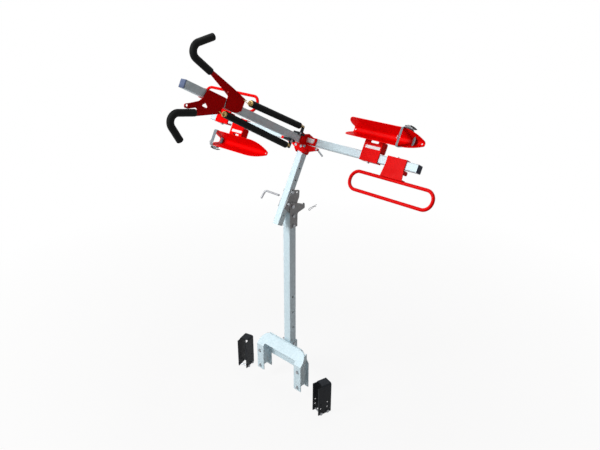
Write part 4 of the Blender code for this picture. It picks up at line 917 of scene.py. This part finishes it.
def sleeveTube(level, ends, eye, tip):
    # a profile carried round the spring's axis: outer wall, half-round rim, bore, half-round rim; the outer
    # wall sinks by a sine along it
    low, high = ends
    sleeve = springs["sleeve"]
    outer, bore = sleeve["radius"], sleeve["bore"]
    middle, wall = (outer + bore) / 2, (outer - bore) / 2
    half = np.linspace(-math.pi / 2, math.pi / 2, sleeve["rimRows"])
    body = np.linspace(low + wall, high - wall, sleeve["rows"])
    sag = -sleeve["sag"] * (1 + np.sin(body * sleeve["waves"]))
    profile = np.vstack([
        np.stack([body, outer + sag], -1),
        np.stack([high - wall + wall * np.cos(half[::-1]), middle + wall * np.sin(half[::-1])], -1),
        np.stack([body[::-1], np.full(len(body), bore)], -1),
        np.stack([low + wall - wall * np.cos(half), middle + wall * np.sin(half)], -1),
    ])
    turn = fullTurn(sleeve["around"])[None, :]
    distance, radius = profile[:, :1], profile[:, 1:]
    across, up = springs["offset"] + radius * np.cos(turn), radius * np.sin(turn)
    grid = np.stack(np.broadcast_arrays(across, distance, up), -1)
    piece = surface(f"sleeve_{level}", inSpring(grid, eye, tip), "sleeve", wrapRows=True)
    fit(piece, "arm", "rubber", f"spring_sleeve_{level}")


for level in ("upper", "lower"):
    spring(level)
print("springs and sleeves made")


# Webbing straps round the wheel trays, each with a slide on its arch

straps = {
    "thickness": 0.0025,
    "width": 0.025,
    "rows": 360,
    "around": 36,
    "squareness": (0.32, 0.55),   # across the width and through the thickness: less is squarer
    "thinner": 0.00035,
    "ripple": {"depth": 0.00025, "waves": 13},
    "half": 0.0484,
    "floorHalf": 0.012,
    "exit": (0.029, 0.009),
    "arch": 0.005,
    "corner": 0.004,
    "shoulder": 0.005,
    "buckleDrop": 0.014,
    "buckleLength": 0.040,
    "buckleClear": 0.004,
    "slackDrop": 0.017,
    "sides": {
        "right": {"foot": (0.650, 0.0395), "head": (0.604, 0.1035), "middle": 0.1115,
                  "turn": 1, "slide": 0.004},
        "left": {"foot": (-0.590, 0.0335), "head": (-0.592, 0.1035), "middle": -0.1285,
                 "turn": -1, "slide": 0.030},
    },
}


def inStrap(points, settings):
    # columns are across the band's width, across the tray, and up from the tray's floor to the arch
    foot, head = settings["foot"], settings["head"]
    rise = math.atan2(head[0] - foot[0], head[1] - foot[1])
    depth, across, up = points[..., 0], points[..., 1], points[..., 2]
    x = foot[0] + depth * math.cos(rise) + up * math.sin(rise)
    out = foot[1] - depth * math.sin(rise) + up * math.cos(rise)
    return onRack(np.stack([x, out, settings["middle"] - across], -1))


def strapLoop(settings, height):
    # the band's outer side as an outline: under the floor, out and up both walls, and over the arch
    half, (away, exitRise) = straps["half"], straps["exit"]
    side, arch, floor = settings["turn"], straps["arch"], straps["floorHalf"]
    upright = height - straps["buckleDrop"] - straps["buckleLength"]
    rises = {
        -side: max(upright, exitRise + straps["buckleClear"]),
        side: height - straps["slackDrop"],
    }
    corners = [(-floor, 0.0), (floor, 0.0), (away, exitRise), (half, rises[1]), (half, height - arch),
               (half - arch, height), (arch - half, height), (-half, height - arch), (-half, rises[-1]),
               (-away, exitRise)]
    corner, shoulder = [straps["corner"]], [straps["shoulder"]]
    return roundedCorners(corners, corner * 3 + shoulder + corner * 4 + shoulder + corner)


def strap(side):
    # a section whose half width and half thickness are powers of a cosine and a sine, carried round the
    # loop, which ripples inwards by the size of a sine
    settings, ripple = straps["sides"][side], straps["ripple"]
    foot, head = settings["foot"], settings["head"]
    height = math.hypot(head[0] - foot[0], head[1] - foot[1])
    loop = strapLoop(settings, height)
    closed = np.vstack([loop, loop[:1]])
    total = pathLength(closed)
    flat = respaced(closed, np.linspace(0, total, straps["rows"] + 1)[:-1])
    ahead = unit(np.roll(flat, -1, 0) - np.roll(flat, 1, 0))
    inward = np.stack([-ahead[:, 1], ahead[:, 0]], -1)
    waves = ripple["depth"] * np.sin(ripple["waves"] * fullTurn(len(flat)))
    flat = flat + inward * (straps["thickness"] / 2 + np.abs(waves))[:, None]
    turn = fullTurn(straps["around"])
    cosine, sine = np.cos(turn), np.sin(turn)
    widePower, thickPower = straps["squareness"]
    wide = np.sign(cosine) * np.abs(cosine) ** widePower * straps["width"] / 2
    halfThick = straps["thickness"] / 2 - straps["thinner"]
    thick = np.sign(sine) * np.abs(sine) ** thickPower * halfThick
    path = np.stack([np.zeros(len(flat)), flat[:, 0], flat[:, 1]], -1)
    grid = sweep(path, np.stack([thick, wide], -1), np.array([1.0, 0.0, 0.0]), closed=True)
    piece = surface(f"strap_{side}", inStrap(grid, settings), "webbing", wrapRows=True,
                    along=np.linspace(0, total, len(flat) + 1), across=np.append(wide, wide[0]))
    fit(piece, f"tray_{side}", "webbing", f"wheel_strap_{side}")
    strapSlide(side, settings, height)


slides = {
    "reach": 0.0085,
    "beside": 0.0022,
    "rod": 0.0013,
    "barRod": 0.9,
    "above": 0.0003,
    "corner": 0.003,
    "samples": 9,
    "around": 12,
}


def strapSlide(side, settings, height):
    # a circle carried round a frame with round corners that lies on the arch, and a bar across its middle
    reach, half, rod = slides["reach"], straps["width"] / 2 + slides["beside"], slides["rod"]
    centre, level = settings["slide"], height + rod + slides["above"]
    corners = [(-half, -reach), (half, -reach), (half, reach), (-half, reach)]
    samples, around = slides["samples"], slides["around"]
    outline = roundedCorners(corners, [slides["corner"]] * 4, samples)
    upright = np.array([0.0, 0.0, 1.0])
    path = np.stack([outline[:, 0], centre + outline[:, 1], np.full(len(outline), level)], -1)
    grid = sweep(path, circle(rod, around), upright, closed=True)
    piece = surface(f"slide_frame_{side}", inStrap(grid, settings), "boltSteel", wrapRows=True)
    fit(piece, f"tray_{side}", "bare_steel")
    width = np.linspace(-half, half, samples)
    bar = np.stack([width, np.full(samples, centre), np.full(samples, level)], -1)
    grid = sweep(bar, circle(rod * slides["barRod"], around), upright)
    piece = surface(f"slide_bar_{side}", inStrap(grid, settings), "boltSteel")
    fit(piece, f"tray_{side}", "bare_steel")


for side in ("right", "left"):
    strap(side)
print("straps made")


# Wheel loops: a smooth tube drawn over the solid's coarse one

loops = {
    "rod": 0.0086,
    "around": 48,
    "corner": 0.046,
    "cornerSamples": 14,
    "near": 0.081,
    "far": 0.174,
    "sides": {"right": {"x": (0.351, 0.820), "way": -1}, "left": {"x": (-0.910, -0.441), "way": 1}},
}


def wheelLoop(side):
    # a circle carried round a long frame with round corners
    settings = loops["sides"][side]
    left, right = settings["x"]
    near, far = loops["near"], loops["far"]
    corners = [(left, near), (right, near), (right, far), (left, far)]
    outline = roundedCorners(corners, [loops["corner"]] * 4, loops["cornerSamples"])
    path = np.stack([outline[:, 0], np.zeros(len(outline)), settings["way"] * outline[:, 1]], -1)
    grid = sweep(path, circle(loops["rod"], loops["around"]), np.array([0.0, 1.0, 0.0]), closed=True)
    piece = surface(f"loop_tube_{side}", onRack(grid), "redTube", wrapRows=True)
    fit(piece, f"loop_{side}", "red_paint")


for side in ("right", "left"):
    wheelLoop(side)


# The clip: one straight leg, a round eye, and a leg that bows over the pin

clip = {
    "place": (0.100, 0.0736, 0.97235),
    "wire": 0.00175,
    "pin": 0.006,
    "around": 14,
    "leg": (0.036, -0.018),       # how far the straight leg runs past the pin on each side
    "eye": {"at": -0.022, "radius": 0.0065, "from": 70, "to": 310, "samples": 26},
    "bow": {"clear": 0.0008, "from": 230, "to": 320, "samples": 12},
    "waist": (-0.012, 0.001),
    "tip": [(0.014, -0.0035), (0.030, -0.0095)],
    "tilt": 4.0,
}


def arcPoints(radius, settings):
    # the radius times the cosine and the sine of the angles from one to the other
    angles = np.radians(np.linspace(settings["from"], settings["to"], settings["samples"]))
    return radius * np.stack([np.cos(angles), np.sin(angles)], -1)


def clipWire():
    # straight leg, arc of the eye, bow round the pin and a lifted tip, with the corners cut twice
    eye, (waist, waistDrop) = clip["eye"], clip["waist"]
    bow = clip["pin"] + clip["wire"] + clip["bow"]["clear"]
    flat = np.vstack([
        [(end, 0.0) for end in clip["leg"]],
        np.array([eye["at"], -eye["radius"]]) + arcPoints(eye["radius"], eye),
        [(waist, -bow - waistDrop)],
        arcPoints(bow, clip["bow"]),
        clip["tip"],
    ])
    tilt = math.radians(clip["tilt"])
    along = np.array([0.0, math.cos(tilt), math.sin(tilt)])
    upright = np.array([0.0, -math.sin(tilt), math.cos(tilt)])
    path = cutCorners(np.array(clip["place"]) + flat[:, :1] * along + flat[:, 1:] * upright, 2)
    grid = sweep(path, circle(clip["wire"], clip["around"]), alongBar)
    fit(surface("clip_wire", grid, "rodSteel"), "r_clip", "bare_steel", "r_clip")


# The lock pin: a bent rod with turned-down ends and a cross hole for the clip

pin = {
    "place": (-0.150, 0.0736, 0.97235),
    "rod": 0.006,
    "around": 28,
    "rows": 90,
    "shaft": 0.111,
    "handle": 0.052,
    "droop": -133.0,
    "bend": 0.012,
    "chamfer": 0.0015,
    "hole": 0.0024,
    "holeAround": 20,
    "holeInset": 0.0085,
}


def bored(piece, cutter):
    # the cutter's shape is taken out of the piece's mesh for good
    bore = piece.modifiers.new("bore", "BOOLEAN")
    bore.operation = "DIFFERENCE"
    bore.solver = "EXACT"
    bore.object = cutter
    shaped = piece.evaluated_get(bpy.context.evaluated_depsgraph_get())
    mesh = bpy.data.meshes.new_from_object(shaped)
    piece.modifiers.clear()
    piece.data = mesh
    bpy.data.objects.remove(cutter)
    smoothed(mesh)
    return piece


def lockPin():
    # a circle carried along two straight runs and the arc between them, smaller at both ends
    droop = math.radians(pin["droop"])
    place, turn = np.array(pin["place"]), np.array([-pin["shaft"], 0.0, 0.0])
    end = turn + pin["handle"] * np.array([0.0, math.cos(droop), math.sin(droop)])
    bent = bentPath((0.0, 0.0, 0.0), turn, end, pin["bend"])
    total, chamfer = pathLength(bent), pin["chamfer"]
    middle = np.linspace(chamfer, total - chamfer, pin["rows"])[1:-1]
    positions = np.concatenate([[0.0, chamfer], middle, [total - chamfer, total]])
    size = np.ones((len(positions), 1))
    size[[0, -1]] = 1 - chamfer / pin["rod"]
    path = place + respaced(bent, positions)
    grid = sweep(path, circle(pin["rod"], pin["around"]), carriedNormals(path), scale=size)
    tilt = math.radians(clip["tilt"])
    across = np.array([0.0, math.cos(tilt), math.sin(tilt)])
    centre = place - np.array([pin["holeInset"], 0.0, 0.0])
    hole = centre + 2 * pin["rod"] * np.linspace(-1, 1, 3)[:, None] * across
    holeGrid = sweep(hole, circle(pin["hole"], pin["holeAround"]), alongBar)
    cutter = surface("pin_cutter", holeGrid, "rodSteel")
    piece = bored(surface("pin_rod", grid, "rodSteel"), cutter)
    fit(piece, "lock_pin", "zinc", "lock_pin")


clipWire()
lockPin()
print("loops, clip and pin made")


# Bare label plates and the small fasteners that the solids leave out

labels = {
    "label_right": {"body": "tray_right", "x": (0.392, 0.478), "up": (0.037, 0.052)},
    "label_left": {"body": "tray_left", "x": (-0.544, -0.462), "up": (-0.059, -0.044)},
    "label_head": {"body": "arm", "x": (0.0245, 0.074), "up": (-0.0115, 0.013)},
}
labelPlate = {
    "stands": 0.02585,
    "corner": 0.002,
    "samples": 7,
    "rows": [(0.0, 1.0), (0.0003, 1.0), (0.0004, 0.99)],   # height and size of each ring
}


def label(name, settings):
    # a rectangle with round corners, repeated at each height and shrunk about its middle
    (left, right), (low, high) = settings["x"], settings["up"]
    corners = [(left, low), (right, low), (right, high), (left, high)]
    outline = roundedCorners(corners, [labelPlate["corner"]] * 4, labelPlate["samples"])
    middle = outline.mean(0)
    grid = []
    for height, size in labelPlate["rows"]:
        ring = middle + (outline - middle) * size
        out = np.full(len(ring), labelPlate["stands"] + height)
        grid.append(onRack(np.stack([ring[:, 0], out, ring[:, 1]], -1)))
    fit(surface(name, np.stack(grid), "label"), settings["body"], "zinc")


for name, settings in labels.items():
    label(name, settings)


screws = {
    "wing_screw_left": {"place": (-0.0175, 0.0503, -0.039), "size": 0.0050, "faces": "out"},
    "wing_screw_right": {"place": (0.020, 0.0503, -0.041), "size": 0.0050, "faces": "out"},
    "anchor_screw_lower": {"place": (0.0262, 0.1385, -0.0400), "size": 0.0060, "faces": "side"},
    "anchor_screw_upper": {"place": (0.0262, 0.0940, 0.0160), "size": 0.0036, "faces": "side"},
}
screwHead = {
    "heights": [0.0, 0.0010, 0.0012, 0.0012],
    "radii": [1.55, 1.55, 1.50, 1.0],    # in shares of the dome's radius
    "dome": 0.62,
    "domeRows": 8,
    "around": 36,
}


def screw(name, settings):
    # a washer, then a quarter of an ellipse, turned round the screw's axis
    size, washer = settings["size"], screwHead["heights"]
    quarter = np.linspace(0, math.pi / 2, screwHead["domeRows"])[:-1]
    heights = np.concatenate([washer, washer[-1] + screwHead["dome"] * size * np.sin(quarter)])
    radii = np.concatenate([screwHead["radii"], np.cos(quarter)]) * size
    turn = fullTurn(screwHead["around"])
    wide, high = radii[:, None] * np.cos(turn), radii[:, None] * np.sin(turn)
    rise = heights[:, None] + 0 * turn
    shape = (rise, wide, high) if settings["faces"] == "side" else (wide, rise, high)
    grid = np.array(settings["place"]) + np.stack(shape, -1)
    fit(surface(name, onRack(grid), "boltSteel"), "arm", "bare_steel")


for name, settings in screws.items():
    screw(name, settings)
print("labels and screws made")
